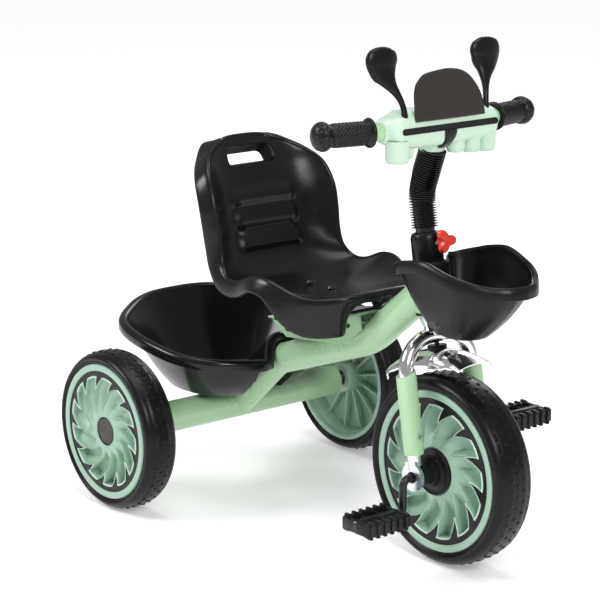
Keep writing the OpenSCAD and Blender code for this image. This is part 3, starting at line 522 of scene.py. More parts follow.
def rim(name, matrix, spec, body, nodes, both_faces):
    """Moulded wheel: outer ring, stepped barrel and the vane dish on each closed face."""
    half = spec["width"] / 2
    ring_out, ring_in = spec["ring"]
    bm = bmesh.new()
    flange = [
        (ring_in, half - 9), (ring_in, half - 2.0), (ring_in + 0.9, half - 1.0), (ring_in + 2.6, half - 0.5),
        (ring_out - 2.8, half - 0.3), (ring_out - 1.0, half - 0.9), (ring_out, half - 2.6), (ring_out - 0.8, half - 8),
    ]
    if both_faces:
        loop = flange + [(r, -h) for r, h in reversed(flange)]
    else:
        loop = flange + [
            (ring_out - 1.5, -half + 5), (ring_out, -half + 2.5), (ring_out - 1.4, -half + 0.6),
            (ring_out - 4.5, -half + 0.4), (ring_out - 7, -half + 2.2), (ring_out - 9, -half + 9),
            (ring_out - 12, half - 30), (ring_in - 3, half - 22), (ring_in - 4, half - 14),
        ]
    closed_lathe(bm, loop, steps=128)
    for face in (1, -1) if both_faces else (1,):
        vanes(bm, spec, face_place(half - 2.0, face))
    return finish_mesh(name, bm, matrix, body, wheel_mint, nodes, sharp=32)


FRONT_WHEEL = {"width": 58, "ring": (105.6, 95.6), "hub": 32, "tip": 88, "valley": 65, "rise": 15.0, "sweep": 0.085}
REAR_WHEEL = {"width": 50, "ring": (94.2, 84.6), "hub": 24, "tip": 77, "valley": 60, "rise": 13.5, "sweep": 0.105}


def trim(name, matrix, spec, body, node, faces):
    """Black plate round the vanes, cut to their outline and flush with the ring."""
    bm = bmesh.new()
    r_out = spec["ring"][1]
    for face in faces:
        place = face_place(spec["width"] / 2 - 2.0, face)
        rows = []
        for i in range(BLADES * len(PHASES)):
            phase = i // len(PHASES) + PHASES[i % len(PHASES)]
            edge = vane_edge(spec, phase)
            points = [(edge, -2.5), (edge, -0.4)] + [(lerp(edge, r_out - 2.2, k / 4), -0.4) for k in range(1, 5)]
            points += [(r_out - 1.6, 0.2), (r_out - 0.4, 0.2), (r_out, -2.5)]
            rows.append([place @ Vector(spiral_point(spec, phase, r, h)) for r, h in points])
        grid(bm, rows, close_u=True)
    return finish_mesh(name, bm, matrix, body, black_plastic, (node,), sharp=32)


rim("front_rim_vaned", FRONT_OUT[-1], FRONT_WHEEL, "front_wheel", ("front_rim",), True)
vane_edges("front_vane_edges", FRONT_OUT[-1], FRONT_WHEEL, "front_wheel", ("front_rim",), (1, -1))
trim("front_trim_discs", FRONT_OUT[-1], FRONT_WHEEL, "front_wheel", "front_trims", (1, -1))
for word, s in SIDES.items():
    rim(f"rear_rim_{word}_vaned", REAR_OUT[s], REAR_WHEEL, f"{word}_rear_wheel", (f"rear_rim_{word}",), False)
    vane_edges(f"rear_vane_edges_{word}", REAR_OUT[s], REAR_WHEEL, f"{word}_rear_wheel", (f"rear_rim_{word}",), (1,))
    trim(f"rear_trim_{word}_disc", REAR_OUT[s], REAR_WHEEL, f"{word}_rear_wheel", f"rear_trim_{word}", (1,))

front_hub_end = size("front_hub_caps").y / 2
hub_steps = [(25.5, 1.0), (22, 1.4), (18.5, 3.0), (17.0, 9.0), (14.0, 10.0), (12.4, front_hub_end - 31.5), (10.4, front_hub_end - 30.0)]


def hub_caps(name, matrix, levels, steps_out, radius, body, material, nodes):
    """Turned caps standing on both faces of a wheel, or on one."""
    bm = bmesh.new()
    for side in levels:
        base = levels[side]
        profile = [(0.01, base - 3), (radius, base - 3), (radius, base + 0.4), (radius - 0.8, base + 1.2)]
        for r, h in steps_out:
            profile += [(r + 0.9, base + h - 0.7), (r, base + h)]
        profile.append((0.01, base + steps_out[-1][1]))
        lathe(bm, [(r, side * h) for r, h in profile], steps=72)
    return finish_mesh(name, bm, matrix, body, material, nodes, sharp=30)


hub_caps("front_hub_covers", FRONT_OUT[-1], {1: 30, -1: 30}, hub_steps, 30, "front_wheel", black_plastic, ("front_hub_caps",))
for word, s in SIDES.items():
    hub_caps(f"rear_cap_{word}_turned", REAR_OUT[s], {1: 18.5}, [(19.4, 1.0), (17.5, 1.2)], 20.5,
             f"{word}_rear_wheel", smoke_plastic, (f"rear_cap_{word}",))


def rear_dish(name, matrix, word):
    """Open inner side of a rear wheel: deep dish, radial ribs and a boss."""
    bm = bmesh.new()
    half = REAR_WHEEL["width"] / 2
    profile = [(84, -half + 8), (80, half - 22), (70, half - 19), (26, half - 17), (24, half - 19), (22, -half + 6),
               (20.5, -half + 4.5), (12, -half + 4), (11, -half + 6), (11, half - 16), (26, half - 13), (70, half - 15),
               (83, half - 18), (86, -half + 9)]
    closed_lathe(bm, profile, steps=96)
    for i in range(BLADES):
        a = 2 * math.pi * i / BLADES
        turn = Matrix.Rotation(a, 4, "Z")
        part = bmesh.new()
        box_block(part, (52, 0, -half + 26), (29, 1.3, 5.0), 0.6)
        bmesh.ops.transform(part, matrix=turn, verts=part.verts)
        mesh = bpy.data.meshes.new("rib")
        part.to_mesh(mesh)
        part.free()
        bm.from_mesh(mesh)
        bpy.data.meshes.remove(mesh)
    return finish_mesh(name, bm, matrix, f"{word}_rear_wheel", wheel_mint, (f"rear_rim_{word}",), sharp=30)


for word, s in SIDES.items():
    rear_dish(f"rear_dish_{word}", REAR_OUT[s], word)

# ------------------------------------------------------------------ seat

SEAT_W = size("seat_shell").y / 2 - 6
SEAT = [
    (313, 326, 312, 326, 0.10), (304, 333, 303, 331, 0.42), (289, 330, 289, 328, 0.62),
    (268, 325, 268, 326, 0.78), (243, 320, 243, 330, 0.88), (212, 316, 210, 342, 0.98),
    (180, 314, 180, 343, 1.00), (146, 315, 146, 331, 0.98), (112, 321, 120, 331, 0.97),
    (86, 338, 103, 345, 0.92), (68, 362, 95, 368, 0.90), (58, 392, 89, 400, 0.91),
    (50, 425, 81, 430, 0.91), (37, 456, 65, 458, 0.86), (25, 478, 45, 474, 0.74), (16, 491, 28, 485, 0.55),
    (11, 497, 16, 494, 0.34),
]


def seat_surface(s, t):
    """Top surface of the seat: s runs from the nose to the top of the back, t from side to side."""
    cx, cz, ex, ez, share = curve_through(SEAT, s)
    k = abs(t) ** 3.2
    x, z = lerp(cx, ex, k), lerp(cz, ez, k)
    return Vector((x, t * share * SEAT_W, z))


RIBS = ((346, 378), (378, 408), (408, 441))


def rib_height(x, z, y):
    """Three rounded bolsters across the lower back that meet in sharp creases."""
    for low, high in RIBS:
        if low <= z < high and x < 112:
            place = (z - low) / (high - low) * 2 - 1
            reach = 55 + 8 * math.sqrt(max(0.0, 1 - place * place))
            across = 1 - smoothstep(reach - 19, reach, abs(y))
            fade = smoothstep(low, low + 9, z) if low == RIBS[0][0] else 1.0
            soft = 1 - smoothstep(418, high, z) if high == RIBS[-1][1] else 1.0
            return (2.0 + 6.5 * math.sqrt(max(0.0, 1 - place * place))) * across * fade * soft
    return 0.0


def skirt_depth(p):
    """Share of the outer wall's full depth: shallower up the back, deeper on both sides of the nose."""
    nose = smoothstep(200, 268, p.x) * smoothstep(14, 34, abs(p.y))
    return (1 - 0.22 * smoothstep(360, 430, p.z)) * (1 + 1.15 * nose)


def seat():
    """Moulded shell: dished top, rolled crest, outer wall that tapers in, and a flat under side."""
    rows_n, cols_n = 140, 104
    top, normals = [], []
    for i in range(rows_n + 1):
        s = i / rows_n
        row = []
        for j in range(cols_n + 1):
            t = math.sin(math.pi / 2 * (2 * j / cols_n - 1)) * 0.6 + (2 * j / cols_n - 1) * 0.4
            row.append(seat_surface(s, t))
        top.append(row)
    for i in range(rows_n + 1):
        row = []
        for j in range(cols_n + 1):
            du = top[min(i + 1, rows_n)][j] - top[max(i - 1, 0)][j]
            dv = top[i][min(j + 1, cols_n)] - top[i][max(j - 1, 0)]
            row.append(du.cross(dv).normalized() * -1)
        normals.append(row)
    up_sign = 1 if normals[rows_n // 3][cols_n // 2].z > 0 else -1
    for i in range(rows_n + 1):
        for j in range(cols_n + 1):
            normals[i][j] *= up_sign
    bm = bmesh.new()
    grid_top = []
    for i in range(rows_n + 1):
        row = []
        for j in range(cols_n + 1):
            p, n = top[i][j], normals[i][j]
            row.append(bm.verts.new(p + n * rib_height(p.x, p.z, p.y)))
        grid_top.append(row)
    for i in range(rows_n):
        for j in range(cols_n):
            a, b = grid_top[i], grid_top[i + 1]
            bm.faces.new((a[j], b[j], b[j + 1], a[j + 1]))
    edge = [(i, 0) for i in range(rows_n + 1)] + [(rows_n, j) for j in range(1, cols_n + 1)]
    edge += [(i, cols_n) for i in range(rows_n - 1, -1, -1)] + [(0, j) for j in range(cols_n - 1, 0, -1)]
    loop = [grid_top[i][j] for i, j in edge]
    count = len(loop)
    outs, ups = [], []
    for k, (i, j) in enumerate(edge):
        ahead = loop[(k + 3) % count].co - loop[(k - 3) % count].co
        n = normals[i][j]
        out = ahead.cross(n).normalized()
        centre = Vector((seat_surface(i / rows_n, 0).x, 0, top[i][cols_n // 2].z))
        if i in (0, rows_n):
            away = (top[rows_n][cols_n // 2] - top[rows_n - 4][cols_n // 2]) * (1 if i else -1)
            if i == 0:
                away = top[0][cols_n // 2] - top[4][cols_n // 2]
        else:
            away = top[i][j] - top[i][cols_n // 2]
        if out.dot(away) < 0:
            out = -out
        outs.append(out)
        ups.append(n)
    for _ in range(24):
        outs = [(outs[k - 1] + outs[k] * 2 + outs[(k + 1) % count]).normalized() for k in range(count)]
        ups = [(ups[k - 1] + ups[k] * 2 + ups[(k + 1) % count]).normalized() for k in range(count)]
    skirt = ((2.2, 1.5), (4.6, 1.2), (6.2, -0.6), (6.8, -3.2), (6.2, -8), (4.6, -15), (3.0, -21),
             (1.6, -23.6), (0.2, -24.0), (-1.2, -22.5), (-1.6, -15), (-1.8, -9))
    depth = [skirt_depth(v.co) for v in loop]
    previous = loop
    for out_by, up_by in skirt:
        ring = [bm.verts.new(loop[k].co + outs[k] * out_by + ups[k] * min(up_by, up_by * depth[k])) for k in range(count)]
        for k in range(count):
            a, b = k, (k + 1) % count
            bm.faces.new((previous[a], previous[b], ring[b], ring[a]))
        previous = ring
    under = {}
    for i in range(1, rows_n):
        for j in range(1, cols_n):
            under[i, j] = bm.verts.new(top[i][j] - normals[i][j] * 6.5)
    for k, spot in enumerate(edge):
        under[spot] = previous[k]
    for i in range(rows_n):
        for j in range(cols_n):
            bm.faces.new((under[i, j], under[i, j + 1], under[i + 1, j + 1], under[i + 1, j]))
    return finish_mesh("seat_moulding", bm, GROUND, "seat", seat_plastic, ("seat_shell",), sharp=60)


def cut_out(obj, outline, x_low, x_high):
    """Cuts a hole of a (y, z) outline right through a piece, along X, and keeps the result as its mesh."""
    bm = bmesh.new()
    rows = [[GROUND @ Vector((x, y, z)) for y, z in outline] for x in (x_low, x_high)]
    made = grid(bm, rows, close_v=True)
    for ring in made:
        bm.faces.new(ring)
    bmesh.ops.recalc_face_normals(bm, faces=bm.faces)
    mesh = bpy.data.meshes.new("cutter")
    bm.to_mesh(mesh)
    bm.free()
    cutter = bpy.data.objects.new("cutter", mesh)
    bpy.context.scene.collection.objects.link(cutter)
    tool = obj.modifiers.new("hole", "BOOLEAN")
    tool.operation, tool.solver, tool.object = "DIFFERENCE", "EXACT", cutter
    bpy.context.view_layer.update()
    result = bpy.data.meshes.new_from_object(obj.evaluated_get(bpy.context.evaluated_depsgraph_get()))
    obj.modifiers.clear()
    obj.data = result
    bpy.data.objects.remove(cutter)


handle = rounded([(-42, 463), (42, 463), (37, 487), (-37, 487)], 9, 6)
cut_out(seat(), handle, -30, 70)


def handle_sleeve():
    """Deep wall round the handle hole, running back and down through the hollow back rest."""
    bm = bmesh.new()
    inward = Vector((-0.80, 0, -0.60))
    rows = []
    for depth, grow in ((0.5, 0.0), (2.5, 0.3), (12.0, 0.3), (25.0, 0.3), (26.0, 1.4), (26.0, 3.2), (24.0, 3.4), (6.5, 3.4)):
        row = []
        for y, z in handle:
            x = lerp(32.5, 20.5, (z - 463) / 24)
            scale = Vector((y / 42 * grow, (z - 475) / 12 * grow))
            row.append(Vector((x, y + scale.x, z + scale.y)) + inward * depth)
        rows.append(row)
    grid(bm, rows, close_v=True)
    return finish_mesh("seat_handle_sleeve", bm, GROUND, "seat", matt_black, ("seat_shell",), sharp=50)


handle_sleeve()

# ------------------------------------------------------------------ rear basket

BEAM_LEAN = math.radians(42)
BEAM_START = (0, 111)
REAR_RIM = [(-155, 0, 247), (-154, 40, 247), (-140, 77, 244), (-119, 105, 239), (-98, 132, 235),
            (-68, 145, 230), (-23, 149, 223), (18, 145, 216), (51, 136, 210), (84, 111, 206), (105, 68, 202),
            (112, 30, 199), (113, 0, 199)]


def even_loop(points, count, passes):
    """The closed symmetric outline through the half-outline's points, evenly spaced and eased."""
    dense = [Vector(curve_through(points, k / 300)) for k in range(301)]
    dense += [Vector((p.x, -p.y, p.z)) for p in reversed(dense[1:-1])]
    lengths = [0.0]
    for a, b in zip(dense, dense[1:] + dense[:1]):
        lengths.append(lengths[-1] + (b - a).length)
    out, j = [], 0
    for k in range(count):
        want = lengths[-1] * k / count
        while lengths[j + 1] < want:
            j += 1
        share = (want - lengths[j]) / max(1e-6, lengths[j + 1] - lengths[j])
        out.append(dense[j].lerp(dense[(j + 1) % len(dense)], share))
    for _ in range(passes):
        out = [(out[k - 1] + out[k] * 2 + out[(k + 1) % count]) / 4 for k in range(count)]
    return out


AROUND = 200
rear_rim_loop = even_loop(REAR_RIM, AROUND, 30)


def bend_round_beam(p, clear):
    """Pushes a point of the tub off the sloping main tube, which leaves the half-round passage."""
    rise = 0.0
    gap = p.z - BEAM_START[1] - (p.x - BEAM_START[0]) * math.tan(BEAM_LEAN)
    away = gap * math.cos(BEAM_LEAN)
    spread = clear * 1.14
    if p.x < 30 or abs(p.y) >= spread:
        return p
    wanted = clear * (1 - (p.y / spread) ** 2)
    if away < wanted:
        rise = wanted - away
        soft = smoothstep(30, 62, p.x)
        p = p + Vector((-math.sin(BEAM_LEAN), 0, math.cos(BEAM_LEAN))) * rise * soft
    return p


def rear_basket():
    """Thin round tub: flat floor, sloping walls, rolled rim and the passage round the main tube."""
    levels = [(0.0, 0.0), (0.30, 0.0), (0.55, 0.0), (0.80, 0.0), (0.93, 0.012), (1.0, 0.06)]
    walls = 22
    bm = bmesh.new()
    rows = []
    floor_z = 136.5
    for rim in rear_rim_loop:
        centre = Vector((-18, 0, 0))
        flat = Vector((rim.x, rim.y, 0)) - centre
        foot = centre + Vector((flat.x * 0.54, flat.y * 0.57, floor_z))
        row = []
        for share, lift in levels[:-1]:
            row.append(Vector((lerp(centre.x, foot.x, share), foot.y * share, floor_z + lift * 40)))
        for k in range(1, walls + 1):
            u = k / walls
            bulge = 0.36 * math.sin(math.pi * min(1, u * 0.98)) * (1 - u) * 1.2
            p = foot.lerp(rim, u)
            p += Vector((flat.x, flat.y, 0)).normalized() * 12 * bulge
            p.z -= 5 * bulge
            row.append(p)
        rows.append([bend_round_beam(p, 28.5) for p in row])
    made = grid(bm, rows, close_u=True)
    bmesh.ops.remove_doubles(bm, verts=bm.verts, dist=0.3)
    thicken(bm, 3.0)
    return finish_mesh("rear_tub", bm, GROUND, "frame", glossy_black, ("rear_basket",), sharp=40)


def rear_lip():
    """Rolled rim of the rear tub."""
    bm = bmesh.new()
    path = [bend_round_beam(p, 28.5) for p in rear_rim_loop]
    steps = len(path)
    rows = []
    for i, p in enumerate(path):
        ahead = (path[(i + 1) % steps] - path[i - 1]).normalized()
        out = ahead.cross(Vector((0, 0, 1))).normalized()
        if out.dot(p - Vector((-18, 0, p.z))) < 0:
            out = -out
        up = out.cross(ahead).normalized()
        if up.z < 0:
            up = -up
        section = [(-4.6, -8), (-4.4, -1.0), (-3.0, 2.4), (0.0, 4.4), (4.2, 4.6), (7.6, 2.8), (9.4, -1.0), (9.6, -9.0),
                   (8.4, -11.0), (6.6, -10.0), (6.0, -3.0), (3.0, 0.2), (0.2, -1.5), (-1.0, -8)]
        rows.append([p + out * a + up * b for a, b in section])
    grid(bm, rows, close_u=True, close_v=True)
    return finish_mesh("rear_tub_rim", bm, GROUND, "frame", glossy_black, ("rear_basket",), sharp=50)


rear_basket()
rear_lip()

# ------------------------------------------------------------------ front basket

FRONT_RIM = [(385, 42, 389), (392, 46, 390), (400, 56, 393), (413, 66, 397), (430, 69, 402), (463, 70, 406),
             (500, 65, 396), (524, 54, 389), (542, 38, 384), (557, 20, 383), (563, 0, 383)]
BOTTOM = [(432, 20), (433, 22), (435, 24), (440, 25), (447, 26), (460, 27), (473, 26), (482, 22), (488, 15), (491, 8), (492, 0)]


def tube_x(z):
    """Centre of the head tube at a height."""
    return 440 - math.tan(math.radians(10)) * (z - 125)


def front_basket():
    """Bucket whose back wraps round the head tube; its walls bow outward toward the rim."""
    bm = bmesh.new()
    around, walls = 120, 26
    back = 40
    rows = []
    rim_half = [curve_through(FRONT_RIM, k / around) for k in range(around + 1)]
    low_half = [curve_through(BOTTOM, k / around) for k in range(around + 1)]

    def column(x1, y1, z1, x0, y0, floor):
        pts = [Vector((lerp(462, x0, k / 4), y0 * k / 4, floor)) for k in range(4)]
        for k in range(walls + 1):
            u = k / walls
            swell = math.sin(math.pi * u) * 0.10 + u
            out = min(1.0, swell)
            z = lerp(floor, z1, u ** 1.08)
            pts.append(Vector((lerp(x0, x1, out), lerp(y0, y1, min(1.0, out * 1.04)), z)))
        return pts

    half = []
    for k in range(around + 1):
        x1, y1, z1 = rim_half[k]
        x0, y0 = low_half[k]
        half.append(column(x1, y1, z1, x0, y0, 305))
    half.reverse()
    channel = []
    for k in range(1, back):
        a = math.pi * k / back
        col = []
        base = half[-1]
        for j, p in enumerate(base):
            cx = tube_x(p.z)
            r = 23.8
            edge_y = min(p.y, 70)
            ang = a
            x = cx + r * math.sin(ang)
            y = r * math.cos(ang)
            mix = smoothstep(0.0, 0.16, k / back) * smoothstep(0.0, 0.16, 1 - k / back)
            col.append(Vector((lerp(p.x, x, mix), lerp(edge_y * math.cos(a), y, mix), lerp(p.z, min(p.z, 393), mix))))
        channel.append(col)
    other = [[Vector((p.x, -p.y, p.z)) for p in col] for col in reversed(half)]
    rows = half + channel + other[:-1]
    grid(bm, rows, close_u=True)
    bmesh.ops.remove_doubles(bm, verts=bm.verts, dist=0.2)
    thicken(bm, 2.6)
    finish_mesh("front_bucket", bm, GROUND, "frame", black_plastic, ("front_basket",), sharp=45)
    lip = bmesh.new()
    path = [Vector(p) for p in rim_half]
    path = path[:-1] + [Vector((p.x, -p.y, p.z)) for p in reversed(path)]
    section = [(-1.5, -2), (0.2, 2.4), (2.6, 2.8), (5.4, 0.5), (6.4, -6), (6.8, -12.5), (5.6, -13.2), (4.6, -12), (4.0, -5), (2.0, -1)]
    made = []
    for i, p in enumerate(path):
        ahead = (path[min(i + 1, len(path) - 1)] - path[max(i - 1, 0)]).normalized()
        out = ahead.cross(Vector((0, 0, 1))).normalized()
        if out.dot(p - Vector((455, 0, p.z))) < 0:
            out = -out
        made.append([p + out * a + Vector((0, 0, b)) for a, b in section])
    grid(lip, made, close_v=True)
    finish_mesh("front_bucket_rim", lip, GROUND, "frame", black_plastic, ("front_basket",), sharp=45)


front_basket()

# ------------------------------------------------------------------ console, strip, cups, clip and visor


def console_section(y, a, shrink=0.0):
    """Rounded box section of the console at a distance from its middle."""
    share = min(1.0, abs(y) / 92)
    widen = 1 - smoothstep(0.60, 1.0, share)
    front = lerp(15.0, 28.6, 1 - smoothstep(0.84, 1.0, share) ** 1.5)
    back = lerp(-16.5, -20.5, widen)
    top, bottom = lerp(16.0, 25.0, widen), lerp(-16.0, -23.5, widen)
    c, s = math.cos(a), math.sin(a)
    px = math.copysign(abs(c) ** 0.62, c)
    pz = math.copysign(abs(s) ** 0.72, s)
    x = (front + back) / 2 + px * ((front - back) / 2 - shrink)
    z = (top + bottom) / 2 + pz * ((top - bottom) / 2 - shrink)
    if z > 4 and x > 6:
        x -= (z - 4) * 0.10
    return Vector((x, y, z))


def console_shell(name, node, low, high):
    """Half of the console: the faces between two angles round its section."""
    bm = bmesh.new()
    rows = []
    stations = 60
    for i in range(stations + 1):
        y = 91.5 * math.sin(math.pi / 2 * (2 * i / stations - 1))
        end = 1 - smoothstep(0.92, 1.0, abs(y) / 91.5)
        row = []
        for k in range(34):
            a = lerp(low, high, k / 33)
            p = console_section(y, a)
            inner = Vector((0, y, -1)) + (p - Vector((0, y, -1))) * (0.72 + 0.28 * end)
            row.append(inner)
        rows.append(row)
    grid(bm, rows)
    thicken(bm, 2.2)
    return finish_mesh(name, bm, BAR, "handlebar", pale_mint, (node,), sharp=40)


console_shell("console_front_half", "console_front", math.radians(-100), math.radians(100))
console_shell("console_rear_half", "console_rear", math.radians(100.6), math.radians(259.4))


def cups():
    """Round feet under the console, each a short stepped boss."""
    bm = bmesh.new()
    for x, y, r, low in ((14, -75, 15.0, -38), (10, -56, 8.5, -35), (12, 75, 13.5, -38), (12, 50, 12.5, -37), (10, 26, 12.0, -35), (-5, 0, 17, -33)):
        part = bmesh.new()
        lathe(part, [(r, -10), (r, low + 4), (r - 1.2, low + 3.2), (r - 1.2, low + 1.2), (r - 2.6, low), (0.01, low)], steps=56)
        bmesh.ops.transform(part, matrix=Matrix.Translation((x, y, 0)), verts=part.verts)
        mesh = bpy.data.meshes.new("cup")
        part.to_mesh(mesh)
        part.free()
        bm.from_mesh(mesh)
        bpy.data.meshes.remove(mesh)
    return finish_mesh("console_feet", bm, BAR, "handlebar", pale_mint, ("console_front",), sharp=35)


cups()


def console_front_x(y, z):
    """How far forward the console's face is at a place."""
    near = min((abs(console_section(y, a / 40).z - z), a) for a in range(-50, 51))[1]
    return console_section(y, near / 40).x


def strip():
    """Black inlay along the front of the console, with round ends and a fine raised border."""
    bm = bmesh.new()
    half, tall, count = 80, 4.0, 72
    rows = []
    for i in range(count + 1):
        y = half * math.sin(math.pi / 2 * (2 * i / count - 1)) * 0.9995
        past = max(0.0, abs(y) - (half - tall))
        reach = math.sqrt(max(0.0, tall * tall - past * past))
        row = []
        for inset, lift in ((0, -3), (0, 0.8), (0.4, 1.3), (0.9, 1.3), (1.2, 0.7)):
            row.append((-max(0.0, reach - inset), lift))
        row += [(-z, lift) for z, lift in reversed(row)]
        rows.append([(console_front_x(y, 1.5 + z) + lift, y, 1.5 + z) for z, lift in row])
    grid(bm, rows)
    bmesh.ops.remove_doubles(bm, verts=bm.verts, dist=0.01)
    return finish_mesh("console_inlay", bm, BAR, "handlebar", black_plastic, ("console_strip",), sharp=40)


strip()


def strap_clip():
    """Black hook under the console for hanging a strap."""
    bm = bmesh.new()
    path = [(28.8, 0, -2), (29.2, 0, -5), (28.4, 0, -10), (26.2, 0, -15), (22.5, 0, -20), (17, 0, -24.5), (12, 0, -26)]
    sweep(bm, path, Round(lambda t: (lerp(10.5, 6.5, smoothstep(0.1, 0.9, t)), 1.5), 20), side=Vector((0, 1, 0)))
    return finish_mesh("strap_hook", bm, BAR, "handlebar", black_plastic, ("strap_clip",), sharp=50)


strap_clip()

VISOR_TOP = [(-58, 607), (-55, 618), (-48, 626), (-40, 631), (-20, 634), (0, 635), (20, 631), (35, 622), (48, 607), (55, 592), (58, 575)]
bar_height = (BAR.translation.z) / MM


def visor():
    """Smoked plate leaning back from the front of the console, its top edge an uneven wave."""
    bm = bmesh.new()
    columns, levels = 64, 14
    rows = []
    for i in range(columns + 1):
        y, top = curve_through(VISOR_TOP, i / columns)
        top -= bar_height
        row = []
        for j in range(levels + 1):
            z = lerp(12.0, top, j / levels)
            x = 29.6 - (z - 16) * 0.085 - (y / 58) ** 2 * 1.6
            row.append(Vector((x, y, z)))
        rows.append(row)
    grid(bm, rows)
    thicken(bm, 3.0)
    return finish_mesh("visor_plate", bm, BAR, "handlebar", smoke_plastic, ("visor",), sharp=40)


visor()

# ------------------------------------------------------------------ mirrors


def mirror(word, side):
    """Teardrop head on a tapering stalk; the rear of the head is flat and carries the glass."""
    bm = bmesh.new()
    path = [(19, 68, 17), (18, 69, 26), (15.5, 71, 36), (11, 74.5, 46), (5, 79, 56), (0, 83, 66), (-3, 85.5, 76),
            (-4, 86.5, 84), (-4.5, 87, 91), (-4.5, 87.2, 96.5), (-4.5, 87.2, 100), (-4.5, 87.2, 102), (-4.5, 87.2, 102.6)]
    wides = [(w,) for w in (4.2, 3.8, 4.0, 5.5, 9.5, 16.5, 22.0, 24.6, 24.0, 20.6, 15.0, 8.4, 1.0)]
    thicks = [(w,) for w in (4.0, 3.6, 3.6, 4.0, 5.2, 6.8, 7.8, 8.0, 7.6, 6.6, 4.8, 2.8, 0.6)]

    def half_axes(t):
        return curve_through(wides, t)[0], curve_through(thicks, t)[0]

    smooth_path = [curve_through(path, k / 60) for k in range(61)]
    sweep(bm, [Vector(p) for p in smooth_path], Round(half_axes, 40), side=Vector((0, 1, 0)))
    for v in bm.verts:
        if v.co.z > 50:
            v.co.x = max(v.co.x, -8.6)
    bmesh.ops.scale(bm, vec=(1, side, 1), verts=bm.verts)
    finish_mesh(f"mirror_head_{word}", bm, BAR, f"{word}_mirror", black_plastic, (f"mirror_{word}",), sharp=50)
    glass = bmesh.new()
    steps = 56
    rings = []
    for share, lift in ((1.0, 0.3), (0.97, -0.9), (0.90, -1.1)):
        ring = []
        for k in range(steps):
            a = 2 * math.pi * k / steps
            squeeze = 1 - 0.26 * max(0.0, -math.sin(a)) ** 1.5
            y = side * (86.0 + 18.5 * share * squeeze * math.cos(a))
            ring.append(glass.verts.new((-8.8 + lift * 0.6, y, 78 + 20.5 * share * math.sin(a))))
        rings.append(ring)
    for a, b in zip(rings, rings[1:]):
        for k in range(steps):
            glass.faces.new((a[k], a[(k + 1) % steps], b[(k + 1) % steps], b[k]))
    glass.faces.new(rings[-1])
    finish_mesh(f"mirror_face_{word}", glass, BAR, f"{word}_mirror", mirror_face, (f"mirror_glass_{word}",), sharp=40)


for word, s in SIDES.items():
    mirror(word, s)

# ------------------------------------------------------------------ hose, sleeve, knob

POST_BEND, POST_BEND_R, POST_BEND_H, HOSE_START = math.radians(30), 60, 355, 309


def post_point(length):
    """Point and direction of the handlebar post in the fork frame, by the length from the hose's foot."""
    straight = POST_BEND_H - HOSE_START - POST_BEND_R * math.tan(POST_BEND / 2)
    if length <= straight:
        return Vector((0, 0, HOSE_START + length))
    a = min(POST_BEND, (length - straight) / POST_BEND_R)
    p = Vector((POST_BEND_R * (1 - math.cos(a)), 0, HOSE_START + straight + POST_BEND_R * math.sin(a)))
    past = length - straight - POST_BEND_R * POST_BEND
    if past > 0:
        p += Vector((math.sin(POST_BEND), 0, math.cos(POST_BEND))) * past
    return p


def hose():
    """Corrugated sleeve: close rings along the bent post."""
    bm = bmesh.new()
    total, pitch = 107.0, 3.2
    turns = int(total / pitch)
    path, radii = [], []
    for k in range(turns * 4 + 1):
        path.append(post_point(total * k / (turns * 4)))
        radii.append((13.2, 17.2, 17.2, 13.2)[k % 4])
    count = len(path) - 1
    sweep(bm, path, Round(lambda t: (radii[round(t * count)],) * 2, 36), side=Vector((0, 1, 0)))
    return finish_mesh("ribbed_hose", bm, FORK, "handlebar", glossy_black, ("post_hose",), sharp=60)


hose()


def clamp_sleeve():
    """Turned collar with a rounded shoulder."""
    bm = bmesh.new()
    profile = [(13.2, 262.6), (19.4, 262.6), (20.0, 263.4), (20.0, 296), (19.4, 299.5), (17.8, 302.2), (15.4, 303.8), (13.2, 304)]
    closed_lathe(bm, profile, steps=72)
    return finish_mesh("collar", bm, FORK, "fork", black_plastic, ("clamp_sleeve",), sharp=40)


def three_lobe_knob():
    """Red three-lobed hand knob with a dished face."""
    bm = bmesh.new()
    steps = 72
    rows = []
    for share, level in ((0.30, -9.0), (0.52, -8.4), (0.60, -4.2), (0.92, -3.4), (1.0, -2.2), (1.0, 3.2), (0.94, 4.6), (0.80, 5.2), (0.45, 4.4), (0.02, 4.0)):
        row = []
        for k in range(steps):
            a = 2 * math.pi * k / steps
            lobe = 12.0 + 4.0 * math.cos(3 * a) if share > 0.55 else 12.0
            row.append((lobe * share * math.cos(a), lobe * share * math.sin(a), level))
        rows.append(row)
    grid(bm, rows, close_v=True)
    low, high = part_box("clamp_knob")
    place = frame_of((low + high) / 2, (0, 1, 0), steer_fwd)
    return finish_mesh("hand_knob", bm, place, "clamp", red_plastic, ("clamp_knob",), sharp=35)


clamp_sleeve()
three_lobe_knob()


# ------------------------------------------------------------------ grips


